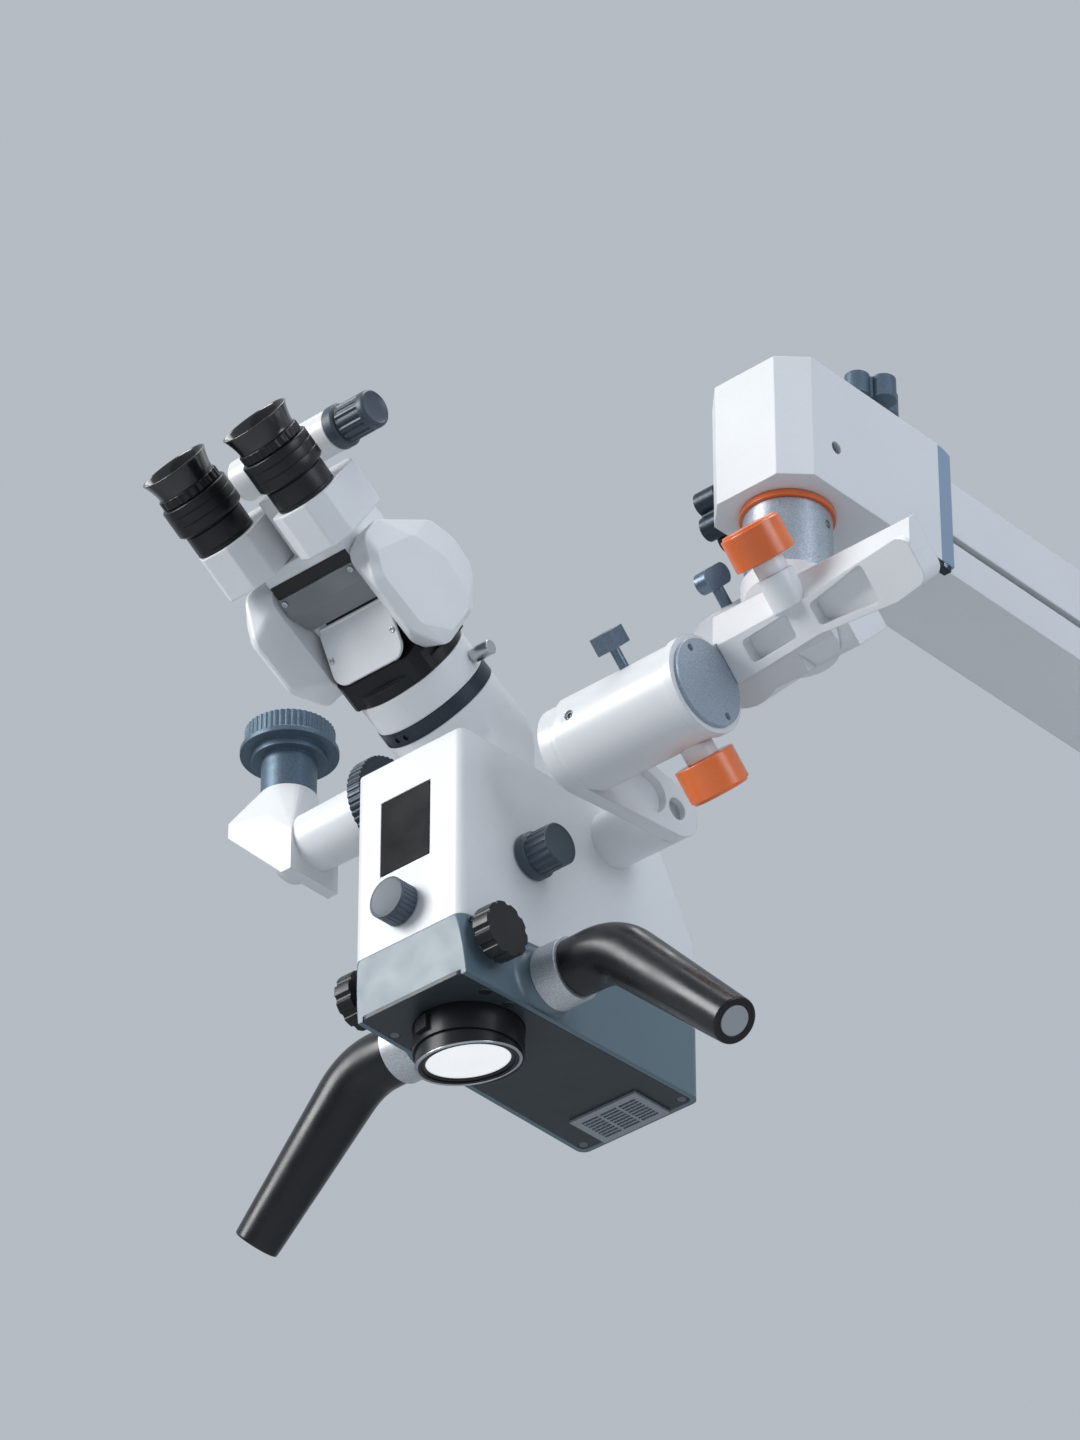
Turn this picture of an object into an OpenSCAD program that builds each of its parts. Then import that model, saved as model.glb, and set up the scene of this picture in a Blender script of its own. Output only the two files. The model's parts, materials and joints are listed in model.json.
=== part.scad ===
// Dental operating microscope on the front section of its suspension arm.
// Row frame: origin on the swivel axis of the stand spigot, at its shoulder.
// +X is the operator's right, +Y points away from the operator, +Z is up.

/* [Suspension arm] */
// Distance between the pivots of the parallel arm
arm_l = 420; // [360:5:520]
// Width of the arm shells
arm_w = 62; // [58:1:64]
// Sheet thickness of the arm shells
arm_wall = 3; // [2.5:0.5:4]
// Height of the lower arm shell
lower_shell_h = 24; // [22:0.5:25]
// Height of the upper arm shell
upper_shell_h = 38.5; // [36:0.5:40]
// Gap between the two arm shells
shell_gap = 5.4; // [5:0.1:7]
// Radius of the four arm pivots
arm_pin_r = 5; // [4:0.5:6]
// Radius of the stand spigot
spigot_r = 19; // [15:0.5:22]
// Length of the stand spigot
spigot_l = 60; // [45:5:80]
// Distance from the spigot axis forward to the arm pivots
base_reach = 34; // [32:1:44]

/* [Head block] */
// Width of the head block
head_w = 76; // [74:1:84]
// Height of the head block
head_h = 84; // [80:1:90]
// Distance from the spindle axis forward to the front face
head_front = 36; // [34:1:42]
// Distance from the spindle axis back to the arm pivots
head_back = 86; // [84:1:96]
// Chamfer of the two front corners
head_chamfer = 15.5; // [10:0.5:18]
// Thickness of the rear collar of the head
collar_t = 11.5; // [8:0.5:14]
// Radius of the lobed clamp knobs
lobe_knob_r = 21; // [17:0.5:24]

/* [Yoke and tilt drum] */
// Radius of the visible spindle
spindle_r = 26; // [24:0.5:27]
// Radius of the spindle journal in the head
journal_r = 17; // [14:0.5:19]
// Tilt of the roll axis from the horizontal
roll_angle = 45; // [40:1:50]
// Distance from the spindle axis sideways to the roll axis
roll_x = 37.8; // [36:0.2:40]
// Distance from the spindle axis forward to the drum axis
drum_ahead = 35.7; // [34:0.1:37]
// Distance from the head down to the drum axis
drum_drop = 119; // [117:0.5:123]
// Outer radius of the tilt drum
drum_r = 29; // [27:0.5:29.5]
// Length of the tilt drum
drum_l = 93; // [86:1:96]
// Radius of the round brake knobs
brake_knob_r = 18.5; // [16:0.5:20]
// Height of the round brake knobs
brake_knob_h = 22; // [18:1:24]

/* [Link and body] */
// Centre distance of the link between drum and body
link_l = 83; // [80:1:90]
// Height of the body pivot below the drum axis
link_drop = 2.5; // [0:0.5:6]
// Radius of the link hub on the drum
link_hub_r = 27; // [25:0.5:28]
// Radius of the link foot and of the body boss
link_foot_r = 17.5; // [16:0.5:19]
// Thickness of the link bar
link_t = 9.5; // [8:0.5:12]
// Width of the body at its front
body_front_w = 84; // [80:1:90]
// Width of the body at its rear
body_rear_w = 92; // [88:1:96]
// Length of the body
body_l = 200; // [190:1:210]
// Height of the body
body_h = 164; // [160:1:170]
// Height of the base casting at the front
base_front_h = 38; // [34:1:42]
// Height of the base casting at the rear
base_rear_h = 47; // [44:1:50]
// Wall thickness of the body castings
body_wall = 4; // [3:0.5:5]
// Radius of the vertical body edges
body_edge_r = 6; // [3:0.5:8]
// Distance from the front face to the optical axis
optic_y = 52.4; // [50:0.5:56]
// Radius of the fixed objective barrel
objective_r = 32; // [30:0.5:34]
// Tilt of the front window
window_tilt = 10.4; // [5:0.1:20]

/* [Binocular] */
// Outer radius of the inclined tube
tube_r = 37.3; // [35:0.1:38]
// Angle of the inclined tube from the vertical
tube_angle = 60; // [55:1:65]
// Angle of the eyepieces from the vertical
eye_angle = 57; // [52:1:62]
// Distance from the bend of the tube to the tilting hinge
hinge_z = 110; // [108:1:116]
// Radius of the hinge covers
cover_r = 45; // [42:0.5:45]
// Distance between the eyepiece axes
pupil_distance = 65; // [62:0.5:68]
// Radius of the widest eyepiece section
eyepiece_r = 21.5; // [20:0.25:21.5]

/* [Controls] */
// Radius of the dimmer knob
dimmer_r = 13; // [11:0.5:14]
// Radius of the magnification knob
mag_knob_r = 13; // [11:0.5:14]
// Radius of the focus knobs
focus_knob_r = 17; // [15:0.5:18]
// Radius of the handle grips at the body
grip_r = 18; // [16:0.5:19]
// Length of the bent part of the grips
grip_l = 119; // [100:1:130]
// Bend of the grips away from the shaft
grip_bend = 44; // [35:1:55]
// Radius of the camera tube
camera_tube_r = 17; // [15:0.5:18]

/* [Hidden] */
$fn = 64;

// Overrun of every cut
over = 1;
// Radial clearance of a turning fit
fit = 0.05;
// Gap between faces that pass each other
gap = 0.3;

// Facets of the shapes that are hulled
soft_fn = 32;

// Heights of the arm pivots and places of the arm
pivot_rise = (lower_shell_h + upper_shell_h) / 2 + shell_gap;
head_pivot_h = 14.4;
base_pivot_h = 20;
head_z = base_pivot_h - head_pivot_h;
base_pivot_y = -base_reach;
head_pivot_y = base_pivot_y - arm_l;
spindle_y = head_pivot_y - head_back;

// Tilted frame of the roll joint: y runs back along the roll axis, z is square to it
drum_y = spindle_y - drum_ahead;
drum_z = head_z - drum_drop;
beam_front = 25;
beam_back = 46;
drum_cap_x = -30.8;
drum_x0 = drum_cap_x - drum_l;
collar_l = 14;
link_x0 = drum_x0 - collar_l;

// Frame of the body: x on its middle plane, y on its front face, z on its underside
body_clear = 44.4;
body_x = link_x0 - body_clear - body_front_w / 2;
pivot_y = 125.5;
pivot_z = 143.7;
body_y = drum_y + link_l - pivot_y;
body_z = drum_z - link_drop - pivot_z;

// Frames of the binocular
bend_rise = 28.8;
bend_z = body_h + bend_rise;

// Arm base
base_w = head_w;
base_h = 91;
base_back = 40;
base_corner_r = 14;
spigot_chamfer = 2;
slot_clear = 3;
roof_t = 4.7;
pivot_boss_r = 8;
pivot_boss_l = 8;
blind_l = 4.4;
spring_r = 8;
spring_l_share = 0.6;
spring_rod_r = 3;

// Head block
bearing_wall = 4;
bearing_l = 52;
bearing_flange = 3;
floor_back = head_back - lower_shell_h / 2 - slot_clear;
collar_margin = 2.8;
collar_back = head_back + arm_pin_r + collar_margin;
set_screw_r = 4;
set_screw_h = 30;
side_knob_y = 6;
side_knob_h = 29;
top_knob_y = 52;
top_knob_x = 19;
top_knob_rise = 5;
knob_stem_r = 5;
knob_hub_h = 6;
lobe_count = 5;
lobe_r_share = 0.36;
knob_h = 15;

// Yoke
ring_h = 4;
ring_over = 2;
seat_drop = 50;
stub_l = 22;
stub_r = 15;
knuckle_r = 29;
knuckle_n = 2;
casting_back = 92;
casting_low = -23;
casting_high = 27;
casting_right = 34;
casting_step = 10;
boss_over = 2;
roll_shaft_r = 13;
roll_shaft_end = 86;
brake_x = 22.6;
brake_b = 30;
brake_stem_r = 9;
brake_stem_top = 45.2;
brake_edge_r = 1.5;
wing_b = 66;
wing_stem_r = 3.5;
wing_low = 42;
wing_w = 28;
wing_h = 13;
wing_t = 8;
beam_drill_r = 5;

// Beam outline in its own plane: along the beam, and square to it
beam_left = -33.9;
beam_mid = 32;
beam_right = 111.8;
beam_corner = 87.7;
beam_top_left = 15;
beam_top_mid = 16.5;
beam_top_right = 23.6;
beam_low_left = -10.6;
beam_low_mid = -5.7;
beam_low_corner = -9.4;
beam_low_right = -6;
beam_ridge_b = 40;
beam_ridge = 13;
beam_end_r = 8;
pocket_depth = 9;
pocket_r = 3;
rib_t = 4.2;
pocket_start = 18.9;
pocket_tail = 33.6;
tongue_left = -74;
tongue_b = 31;

// Tilt drum
saddle_w = 26;
saddle_left = -76;
drum_lip = 1.5;
drum_ring_r = drum_r + drum_lip;
drum_ring_l = 9;
drum_edge = 3;
cap_inset = 2;
cap_r = drum_r - cap_inset;
cap_t = 3;
spanner_r = 2.2;
spanner_share = 0.82;
drum_bore_r = 12;
lower_brake_x = -59;
lower_stem_r = 9.5;
lower_stem_end = 37.5;
lock_x = -76.5;
lock_stem_r = 3;
lock_stem_end = 41;
lock_w = 15;
lock_h = 11;
drum_screw_r = 3.2;
drum_screw_x = 12;

// Link
link_shaft_r = 11.95;
link_shaft_l = 66;
link_pocket = 5;
link_rim = 5;
foot_bore_r = 7;
link_face_x = link_x0 + link_t;
link_pin_short = 4;
pin_depth = 24;

// Body
base_rake = 5;
slope_start = 166;
slope_top_z = 160;
slope_low_z = 96;
seam_rise_y = 112;
plate_t = 3;
plate_inset = 3.3;
label_w = 39;
label_h = 51;
label_x = -2;
label_z = 113;
label_recess = 0.5;
boss_root = body_half(pivot_y) - body_wall / 2;
handle_y = 68;
handle_z = 20.3;
handle_boss_r = 19;
handle_boss_l = 7;
handle_boss_x = body_half(handle_y) + handle_boss_l;
vent_y = 181;
vent_w = 51;
vent_l = 31;
vent_rows = 8;
vent_cols = 3;
vent_t = 2;
slot_w = 1.8;
slot_margin = 4;
slot_share = 0.25;
screw_r = 3;
screw_head_h = 2;
screw_shank_r = 1.8;
screw_inset = 7.5;
screw_rows = [28, 47, body_l - 8];
lamp_r = 16;
lamp_l = 52;
fin_r = 24;
fin_t = 2.5;
fin_count = 5;
lamp_y = 132;
lamp_z = 62;

// Controls
dimmer_x = -4;
dimmer_z = 61;
dimmer_h = 13;
shaft_r = 4;
mag_y = 57;
mag_z = 100;
mag_collar_r = 14.5;
mag_collar_h = 6;
mag_h = 17;
mag_drum_r = 27;
mag_drum_l = 56;
mag_shaft_r = 5;
mag_x = body_half(mag_y + mag_collar_r) + gap;
lens_bore_r = 9;
focus_y = 20;
focus_z = 28.2;
focus_knob_h = 11.5;
focus_boss_l = 5.6;
focus_boss_x = body_half(focus_y) + focus_boss_l;
pinion_r = 7;
pinion_l = 20;
knob_flute_r = 1.3;
knob_flutes = 18;
wide_flutes = 10;

// Objective
barrel_h = 17;
barrel_wall = 2.6;
hood_r = 30.5;
hood_wall = hood_r - objective_r + 2 * barrel_wall;
hood_mid = 22;
window_t = 3;
window_recess = 2;
cell_wall = 2.5;
cell_h = 12;
cell_z = 5;
rack_w = 8;
rack_t = 4;
rack_h = 30;
clamp_boss_w = 10;
clamp_boss_h = 9;
clamp_boss_angle = -100;

// Handles
collar_r = 19.6;
handle_collar_l = 18;
stub_shaft_r = 8;
stub_depth = 22;
bend_reach = 48.8;
bend_x = handle_boss_x + bend_reach;
bend_r = 42;
bend_swell = 0.2;
grip_end_r = 14;
grip_swing = 1;
grip_cap_r = 9.5;
grip_cap_depth = 1.2;

// Inclined tube, its ring and collar, by distance from the bend
neck_end = 31.2;
clamp_end = 40.4;
collar_end = 60;
black_end = 67.3;
light_r = 21;
foot_flange_r = 40;
foot_flange_h = 3;
clamp_pin_r = 4.5;
clamp_pin_len = 19;
clamp_pin_z = 48;
clamp_pin_y = 6;
ring_hole_r = 1.8;
ring_hole_angle = -110;
ring_hole_step = 12;

// Camera port, by distance from the optical axis
port_drop = 9.8;
port_stub_r = 14;
port_stub_end = 67;
lock_ring_x = 72;
lock_ring_r = 30;
lock_ring_l = 10;
lock_teeth = 48;
cone_r = 19.6;
cone_tip_r = 18;
tower_x = 150;
port_box_left = 30.6;
port_box_right = 23.3;
port_box_w = 40;
port_box_bottom = 27;
port_box_top = 27;
port_box_flat = 8;
port_box_side = 17;
port_neck_low = 18;
port_neck_r = 21;
port_neck_top = 41;
photo_top = 71.8;
flange_r = 30.2;
flange_h = 3.5;
step_r = 23;
step_h = 5;
camera_ring_r = 27.6;
camera_ring_h = 13;
camera_teeth = 48;
adapter_r = 15;

// Hinge, in the frame of the inclined tube
hinge_barrel_r = 11;
hinge_pin_r = 8;
housing_half_w = 31;
ear_t = 10;
housing_low = -31;
housing_high = 31;
cover_x0 = 31.4;
cover_neck_x = 38;
cover_rim_x = 46;
cover_rim_t = 2;
cover_x1 = 53;
cover_rim_round = 0.28;
cover_neck_round = 0.2;
cover_face_round = 0.16;
cover_rim_shares = [[-0.49, -0.91], [0.44, -0.91], [1, -0.58], [1.06, -0.13], [0.89, 0.29], [-0.09, 0.91],
    [-0.51, 0.91], [-0.93, 0.44], [-0.93, -0.38]];
cover_neck_shares = [[-0.4, -0.85], [0.3, -0.85], [0.62, -0.5], [0.68, -0.1], [0.55, 0.3], [-0.05, 0.85],
    [-0.58, 0.78], [-0.58, -0.62]];
cover_face_shares = [[-0.36, -0.8], [0.22, -0.82], [0.44, -0.53], [0.48, -0.11], [0.22, 0.4], [-0.62, 0.68],
    [-0.84, 0.4], [-0.82, -0.4]];
plate_low_z = 77;
front_plate_t = 2.2;
front_plate_w = 54;
front_plate_r = 9;
plate_top_r = 3;
housing_round_r = 40;

// Carriage and prism boxes, in the frame of the eyepieces, from the hinge axis
carriage_half_w = 30.4;
carriage_low = -22.5;
carriage_high = 27;
carriage_step = 17.5;
carriage_end = 46;
web_half_w = 4.6;
web_end = 84;
ipd_e = 91;
ipd_p = 29;
ipd_boss_r = 13;
ipd_boss_half = 38;
ipd_collar_r = 13.5;
ipd_collar_l = 7;
ipd_knob_r = 11.7;
ipd_knob_l = 24;
ipd_shaft_r = 4;
step_plate_t = 1.6;
step_top = 29;
step_lip_p = -13;
step_lip_e = 2.8;
eye_e = 74;
eye_p = -25.8;
box_inner = 10.3;
box_outer = 50.5;
box_back = 46.4;
box_front = 76;
box_top = 14;
box_low = -45.5;
box_side_high = 6;
box_side_low = -34;
box_low_out = 41;
box_low_in = 22;
box_in_low = -37;
box_edge_r = 3;

// Eyepieces, from the front of the prism box
sleeve_r = 15;
sleeve_l = 14;
eye_low_r = 18.8;
eye_low_l = 14;
eye_groove = 1.2;
eye_high_l = 19;
eye_tube_r = 13.5;
eye_tube_l = 13;
eye_bore_r = 11;
diopter_r = 19.6;
diopter_l = 6;
cup_neck_r = 18.6;
cup_l = 13;
cup_rim_r = 21.6;
cup_wall = 1.6;
cup_bore_r = 16;
diopter_flutes = 24;

// Half the width of the body at a distance behind its front face
function body_half(y) = (body_front_w + (body_rear_w - body_front_w) * y / body_l) / 2;

// Corner centres and tangent points of a convex outline with round corners
function unit(v) = v / norm(v);
function edge_normal(p, i) = let (d = unit(p[(i + 1) % len(p)] - p[i])) [d[1], -d[0]];
function corner_centre(p, i, r) =
    let (n0 = edge_normal(p, (i + len(p) - 1) % len(p)), n1 = edge_normal(p, i))
    p[i] - r * (n0 + n1) / (1 + n0 * n1);

// Convex outline, listed anticlockwise, with round corners that may stand a little proud of its sides
module round_outline(p, r, proud = 0) {
    polygon([for (i = [0 : len(p) - 1], k = [len(p) - 1, 0])
        corner_centre(p, i, r) + (r - proud) * edge_normal(p, (i + k) % len(p))]);
    for (i = [0 : len(p) - 1]) translate(corner_centre(p, i, r)) circle(r = r);
}

// Two circles on the first axis with their common tangents
module tangent_outline(r0, r1, l) {
    s = (r0 - r1) / l;
    c = sqrt(1 - s * s);
    circle(r = r0);
    translate([l, 0]) circle(r = r1);
    a = r0 - fit;
    b = r1 - fit;
    polygon([a * [s, c], a * [s, -c], [l, 0] + b * [s, -c], [l, 0] + b * [s, c]]);
}

// Rods along the three axes between two places
module rod_x(r, x0, x1) translate([x0, 0, 0]) rotate([0, 90, 0]) cylinder(r = r, h = x1 - x0);
module rod_y(r, y0, y1) translate([0, y0, 0]) rotate([-90, 0, 0]) cylinder(r = r, h = y1 - y0);
module rod_z(r, z0, z1) translate([0, 0, z0]) cylinder(r = r, h = z1 - z0);
// Box between two corners
module box(lo, hi) translate(lo) cube(hi - lo);
// Outline drawn in y and z, extruded along x between two places
module slab_x(x0, x1) translate([x0, 0, 0]) rotate([90, 0, 90]) linear_extrude(x1 - x0) children();

// Frames
module at_spindle() translate([0, spindle_y, head_z]) children();
module at_roll() translate([0, drum_y, drum_z]) rotate([roll_angle, 0, 0]) children();
module at_drum() translate([0, drum_y, drum_z]) children();
module at_body() translate([body_x, body_y, body_z]) children();
module at_bend() at_body() translate([0, optic_y, bend_z]) children();
module at_tube() at_bend() rotate([tube_angle, 0, 0]) children();
module at_hinge() at_tube() translate([0, 0, hinge_z]) children();
module at_eyes() at_hinge() rotate([eye_angle - tube_angle, 0, 0]) children();
module at_eye(side) at_eyes() translate([side * pupil_distance / 2, eye_p, eye_e]) children();
module at_port() at_bend() translate([0, 0, -port_drop]) children();

// Round knob on the z axis with straight flutes in its rim
module fluted_knob(r, h, count, flute_r) {
    difference() {
        cylinder(r = r, h = h);
        for (i = [0 : count - 1]) rotate([0, 0, 360 * i / count])
            translate([r + flute_r / 2, 0, -over]) cylinder(r = flute_r, h = h + 2 * over, $fn = 24);
    }
}

// Lobed clamp knob on the z axis, with its stem below
module lobed_knob(r, h, stem_l) {
    lobe = r * lobe_r_share;
    cylinder(r = r - lobe, h = h);
    for (i = [0 : lobe_count - 1]) rotate([0, 0, 360 * i / lobe_count]) translate([r - lobe, 0, 0])
        cylinder(r = lobe, h = h);
    translate([0, 0, -stem_l]) cylinder(r = knob_stem_r, h = stem_l + over);
    translate([0, 0, -knob_hub_h]) cylinder(r = r * lobe_r_share, h = knob_hub_h + over);
}

// Rounded side outline of an arm shell between its pivots
module shell_outline(h, inset) tangent_outline(h / 2 - inset, h / 2 - inset, arm_l);

// Arm shell: a channel with its pivots on the two end centres, open on one side
module arm_shell(h, open_side) {
    difference() {
        slab_x(-arm_w / 2, arm_w / 2) shell_outline(h, 0);
        difference() {
            slab_x(-arm_w / 2 + arm_wall, arm_w / 2 - arm_wall) shell_outline(h, arm_wall);
            for (y = [0, arm_l]) translate([0, y, 0])
                rod_x(pivot_boss_r, -arm_w / 2, -arm_w / 2 + pivot_boss_l);
            for (y = [0, arm_l]) translate([0, y, 0])
                rod_x(pivot_boss_r, arm_w / 2 - pivot_boss_l, arm_w / 2);
        }
        translate([0, 0, open_side * h / 2])
            box([-arm_w / 2 + arm_wall + pivot_boss_l, 0, -h / 2 + arm_wall],
                [arm_w / 2 - arm_wall - pivot_boss_l, arm_l, h / 2]);
        for (y = [0, arm_l]) translate([0, y, 0]) rod_x(arm_pin_r + fit, -arm_w, arm_w);
    }
}

// Rear block that holds the arm pivots, with the spigot that turns in a stand
module arm_base() {
    slot_top = base_h - roof_t;
    slot_back = base_pivot_y + upper_shell_h / 2 + slot_clear;
    front = base_pivot_y - upper_shell_h / 2;
    color("white") difference() {
        union() {
            slab_x(-base_w / 2, base_w / 2)
                round_outline([[front, 0], [base_back, 0], [base_back, base_h], [front, base_h]],
                    base_corner_r);
            rod_z(spigot_r, -spigot_l + spigot_chamfer, base_corner_r);
            translate([0, 0, -spigot_l])
                cylinder(r1 = spigot_r - spigot_chamfer, r2 = spigot_r, h = spigot_chamfer);
        }
        box([-arm_w / 2 - gap, front - over, -over], [arm_w / 2 + gap, slot_back, slot_top]);
        for (z = [base_pivot_h, base_pivot_h + pivot_rise]) translate([0, base_pivot_y, z])
            rod_x(arm_pin_r, -arm_w / 2 - gap - blind_l, arm_w / 2 + gap + blind_l);
    }
}

// Two fixed pins that the rear ends of the arm turn on
module pivot_pins(y, z) {
    for (rise = [0, pivot_rise]) translate([0, y, z + rise])
        rod_x(arm_pin_r, -arm_w / 2 - blind_l, arm_w / 2 + blind_l);
}
module base_pivot_pins() color("silver") pivot_pins(base_pivot_y, base_pivot_h);
module head_pivot_pins() color("silver") pivot_pins(head_pivot_y, base_pivot_h);

// Lower channel of the parallel arm
module arm_lower_shell() color("whitesmoke")
    translate([0, head_pivot_y, base_pivot_h]) arm_shell(lower_shell_h, 1);

// Upper channel of the parallel arm
module arm_upper_shell() color("whitesmoke") translate([0, head_pivot_y, base_pivot_h + pivot_rise])
    arm_shell(upper_shell_h, -1);

// Balance spring in the lower channel, as its sleeve between two anchors
module arm_spring() color("dimgray") translate([0, head_pivot_y, base_pivot_h]) {
    rod_y(spring_rod_r, pivot_boss_r + arm_pin_r, arm_l - pivot_boss_r - arm_pin_r);
    translate([0, arm_l * (1 - spring_l_share) / 2, 0]) rod_y(spring_r, 0, arm_l * spring_l_share);
    box([-arm_w / 2 + arm_wall, arm_l * spring_l_share, -arm_pin_r],
        [arm_w / 2 - arm_wall, arm_l * spring_l_share + arm_pin_r, arm_pin_r]);
}

// Plan outline of the head block
module head_plan(back) {
    w = head_w / 2;
    polygon([[-w + head_chamfer, -head_front], [w - head_chamfer, -head_front],
        [w, -head_front + head_chamfer],
        [w, back], [-w, back], [-w, -head_front + head_chamfer]]);
}

// Front housing: holds the spindle bearing and the front arm pivots
module head_block() {
    cavity_front = head_back - upper_shell_h / 2 - slot_clear;
    slot_top = head_h - roof_t;
    floor_z = head_pivot_h + pivot_rise - upper_shell_h / 2 - slot_clear;
    color("white") at_spindle() difference() {
        linear_extrude(head_h) head_plan(collar_back);
        rod_z(journal_r + bearing_wall, -over, bearing_l);
        rod_z(journal_r + bearing_wall + bearing_flange, -over, bearing_flange);
        box([-arm_w / 2 - gap, cavity_front, floor_z], [arm_w / 2 + gap, collar_back + over, slot_top]);
        box([-arm_w / 2 - gap, floor_back, -over], [arm_w / 2 + gap, collar_back + over, slot_top]);
        for (z = [head_pivot_h, head_pivot_h + pivot_rise]) translate([0, head_back, z])
            rod_x(arm_pin_r, -arm_w / 2 - gap - blind_l, arm_w / 2 + gap + blind_l);
        translate([0, 0, set_screw_h]) rod_x(set_screw_r, head_w / 2 - bearing_wall, head_w);
        translate([0, side_knob_y, side_knob_h])
            rod_x(knob_stem_r + fit, -head_w, -journal_r - 2 * bearing_wall);
        translate([top_knob_x, top_knob_y, 0]) rod_z(knob_stem_r + fit, bearing_l, head_h + over);
    }
}

// Rear collar around the arm, round at its top
module head_end_collar() {
    slot_top = head_h - roof_t;
    back = collar_back + collar_t;
    low = head_pivot_h;
    color("lightsteelblue") at_spindle() difference() {
        slab_x(-head_w / 2, head_w / 2) union() {
            polygon([[collar_back, 0], [back, 0], [back, head_h - 2 * collar_t],
                [collar_back, head_h - 2 * collar_t]]);
            intersection() {
                translate([collar_back, head_h - 2 * collar_t]) circle(r = 2 * collar_t);
                polygon([[collar_back, low], [back, low], [back, head_h], [collar_back, head_h]]);
            }
        }
        box([-arm_w / 2 - gap, collar_back - over, -over], [arm_w / 2 + gap, back + over, slot_top]);
    }
}

// Flanged bush that the spindle turns in
module head_bearing() color("goldenrod") at_spindle() difference() {
    union() {
        rod_z(journal_r + bearing_wall, 0, bearing_l);
        rod_z(journal_r + bearing_wall + bearing_flange, 0, bearing_flange);
    }
    rod_z(journal_r + fit, -over, bearing_l + over);
}

// Friction knob on the left side of the head
module head_side_knob() color("midnightblue") at_spindle()
    translate([-head_w / 2 - knob_hub_h - gap, side_knob_y, side_knob_h])
    rotate([0, -90, 0]) lobed_knob(lobe_knob_r, knob_h, knob_hub_h + 2 * bearing_wall);

// Friction knob on top of the head
module head_top_knob() color("steelblue") at_spindle()
    translate([top_knob_x, top_knob_y, head_h + knob_hub_h + top_knob_rise])
    lobed_knob(lobe_knob_r, knob_h, knob_hub_h + top_knob_rise + bearing_wall);

// Vertical spindle of the yoke
module spindle() color("silver") at_spindle() {
    rod_z(journal_r, -ring_h - gap, bearing_l - bearing_wall);
    rod_z(spindle_r, -seat_drop, -ring_h - gap);
    rod_z(stub_r, -seat_drop - stub_l, -seat_drop);
}

// Coloured ring between the spindle and the head
module spindle_ring() color("orangered") at_spindle() difference() {
    rod_z(spindle_r + ring_over, -ring_h - gap, -gap);
    rod_z(journal_r, -ring_h - gap - over, over);
}

// Casting under the spindle with the housing of the inclined roll axis
module yoke_casting() {
    face = beam_back + gap;
    color("white") difference() {
        union() {
            at_roll() translate([-roll_x, 0, knuckle_n]) rod_y(knuckle_r, face, casting_back);
            at_roll() box([-roll_x, face, casting_low],
                [-roll_x + knuckle_r + casting_step, casting_back, casting_high]);
            at_roll() box([-roll_x, face + casting_step, casting_low],
                [casting_right, casting_back, casting_high]);
            at_spindle() rod_z(spindle_r + boss_over, -seat_drop - 2 * stub_l, -seat_drop);
        }
        at_roll() box([-drum_drop, 0, -drum_drop], [drum_drop, face, drum_drop]);
        at_spindle() rod_z(stub_r, -seat_drop - stub_l, -seat_drop + over);
        at_spindle() rod_z(spindle_r, -seat_drop, 0);
        at_roll() translate([-roll_x, 0, knuckle_n]) rod_y(roll_shaft_r + fit, 0, roll_shaft_end + over);
        at_roll() translate([-roll_x, wing_b, 0])
            rod_z(wing_stem_r + fit, roll_shaft_r + knuckle_n + over, drum_drop);
    }
}

// Round brake knob with its stem, on the z axis
module brake_knob(stem_r, stem_low, knob_low) {
    rod_z(stem_r, stem_low, knob_low + over);
    rod_z(brake_knob_r, knob_low, knob_low + brake_knob_h - brake_edge_r);
    rod_z(brake_knob_r - brake_edge_r, knob_low, knob_low + brake_knob_h);
}

// Brake of the roll joint
module roll_brake_knob() color("orangered") at_roll() translate([brake_x, brake_b, 0])
    brake_knob(brake_stem_r, brake_stem_top - 2 * brake_stem_r, brake_stem_top);

// Wing screw in the housing of the roll joint
module roll_wing_screw() color("darkslategray") at_roll() translate([-roll_x, wing_b, 0]) {
    rod_z(wing_stem_r, roll_shaft_r + knuckle_n + 2 * over, wing_low + over);
    slab_x(-wing_t / 2, wing_t / 2) translate([0, wing_low + wing_h / 2]) union() {
        square([wing_w - wing_h, wing_h], center = true);
        for (s = [-1, 1]) translate([s * (wing_w - wing_h) / 2, 0]) circle(r = wing_h / 2);
    }
}

// Outline of the beam, along it and square to it, with a round right end
module beam_outline() {
    polygon([[beam_left, beam_low_left], [beam_mid, beam_low_mid], [beam_mid + beam_end_r, beam_low_mid],
        [beam_mid + beam_end_r, beam_top_mid], [beam_mid, beam_top_mid], [beam_left, beam_top_left]]);
    round_outline([[beam_mid, beam_low_mid], [beam_corner, beam_low_corner], [beam_right, beam_low_right],
        [beam_right, beam_top_right], [beam_mid, beam_top_mid]], beam_end_r, fit);
}

// Pocket between two places along the beam, clear of its edges by the rib
module beam_pocket(x0, x1, low0, low1, top0, top1) {
    translate([0, beam_front + pocket_depth, 0]) rotate([90, 0, 0]) linear_extrude(pocket_depth + over)
        round_outline([[x0, low0 + rib_t], [x1, low1 + rib_t], [x1, top1 - rib_t], [x0, top0 - rib_t]],
            pocket_r, fit);
}

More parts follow.
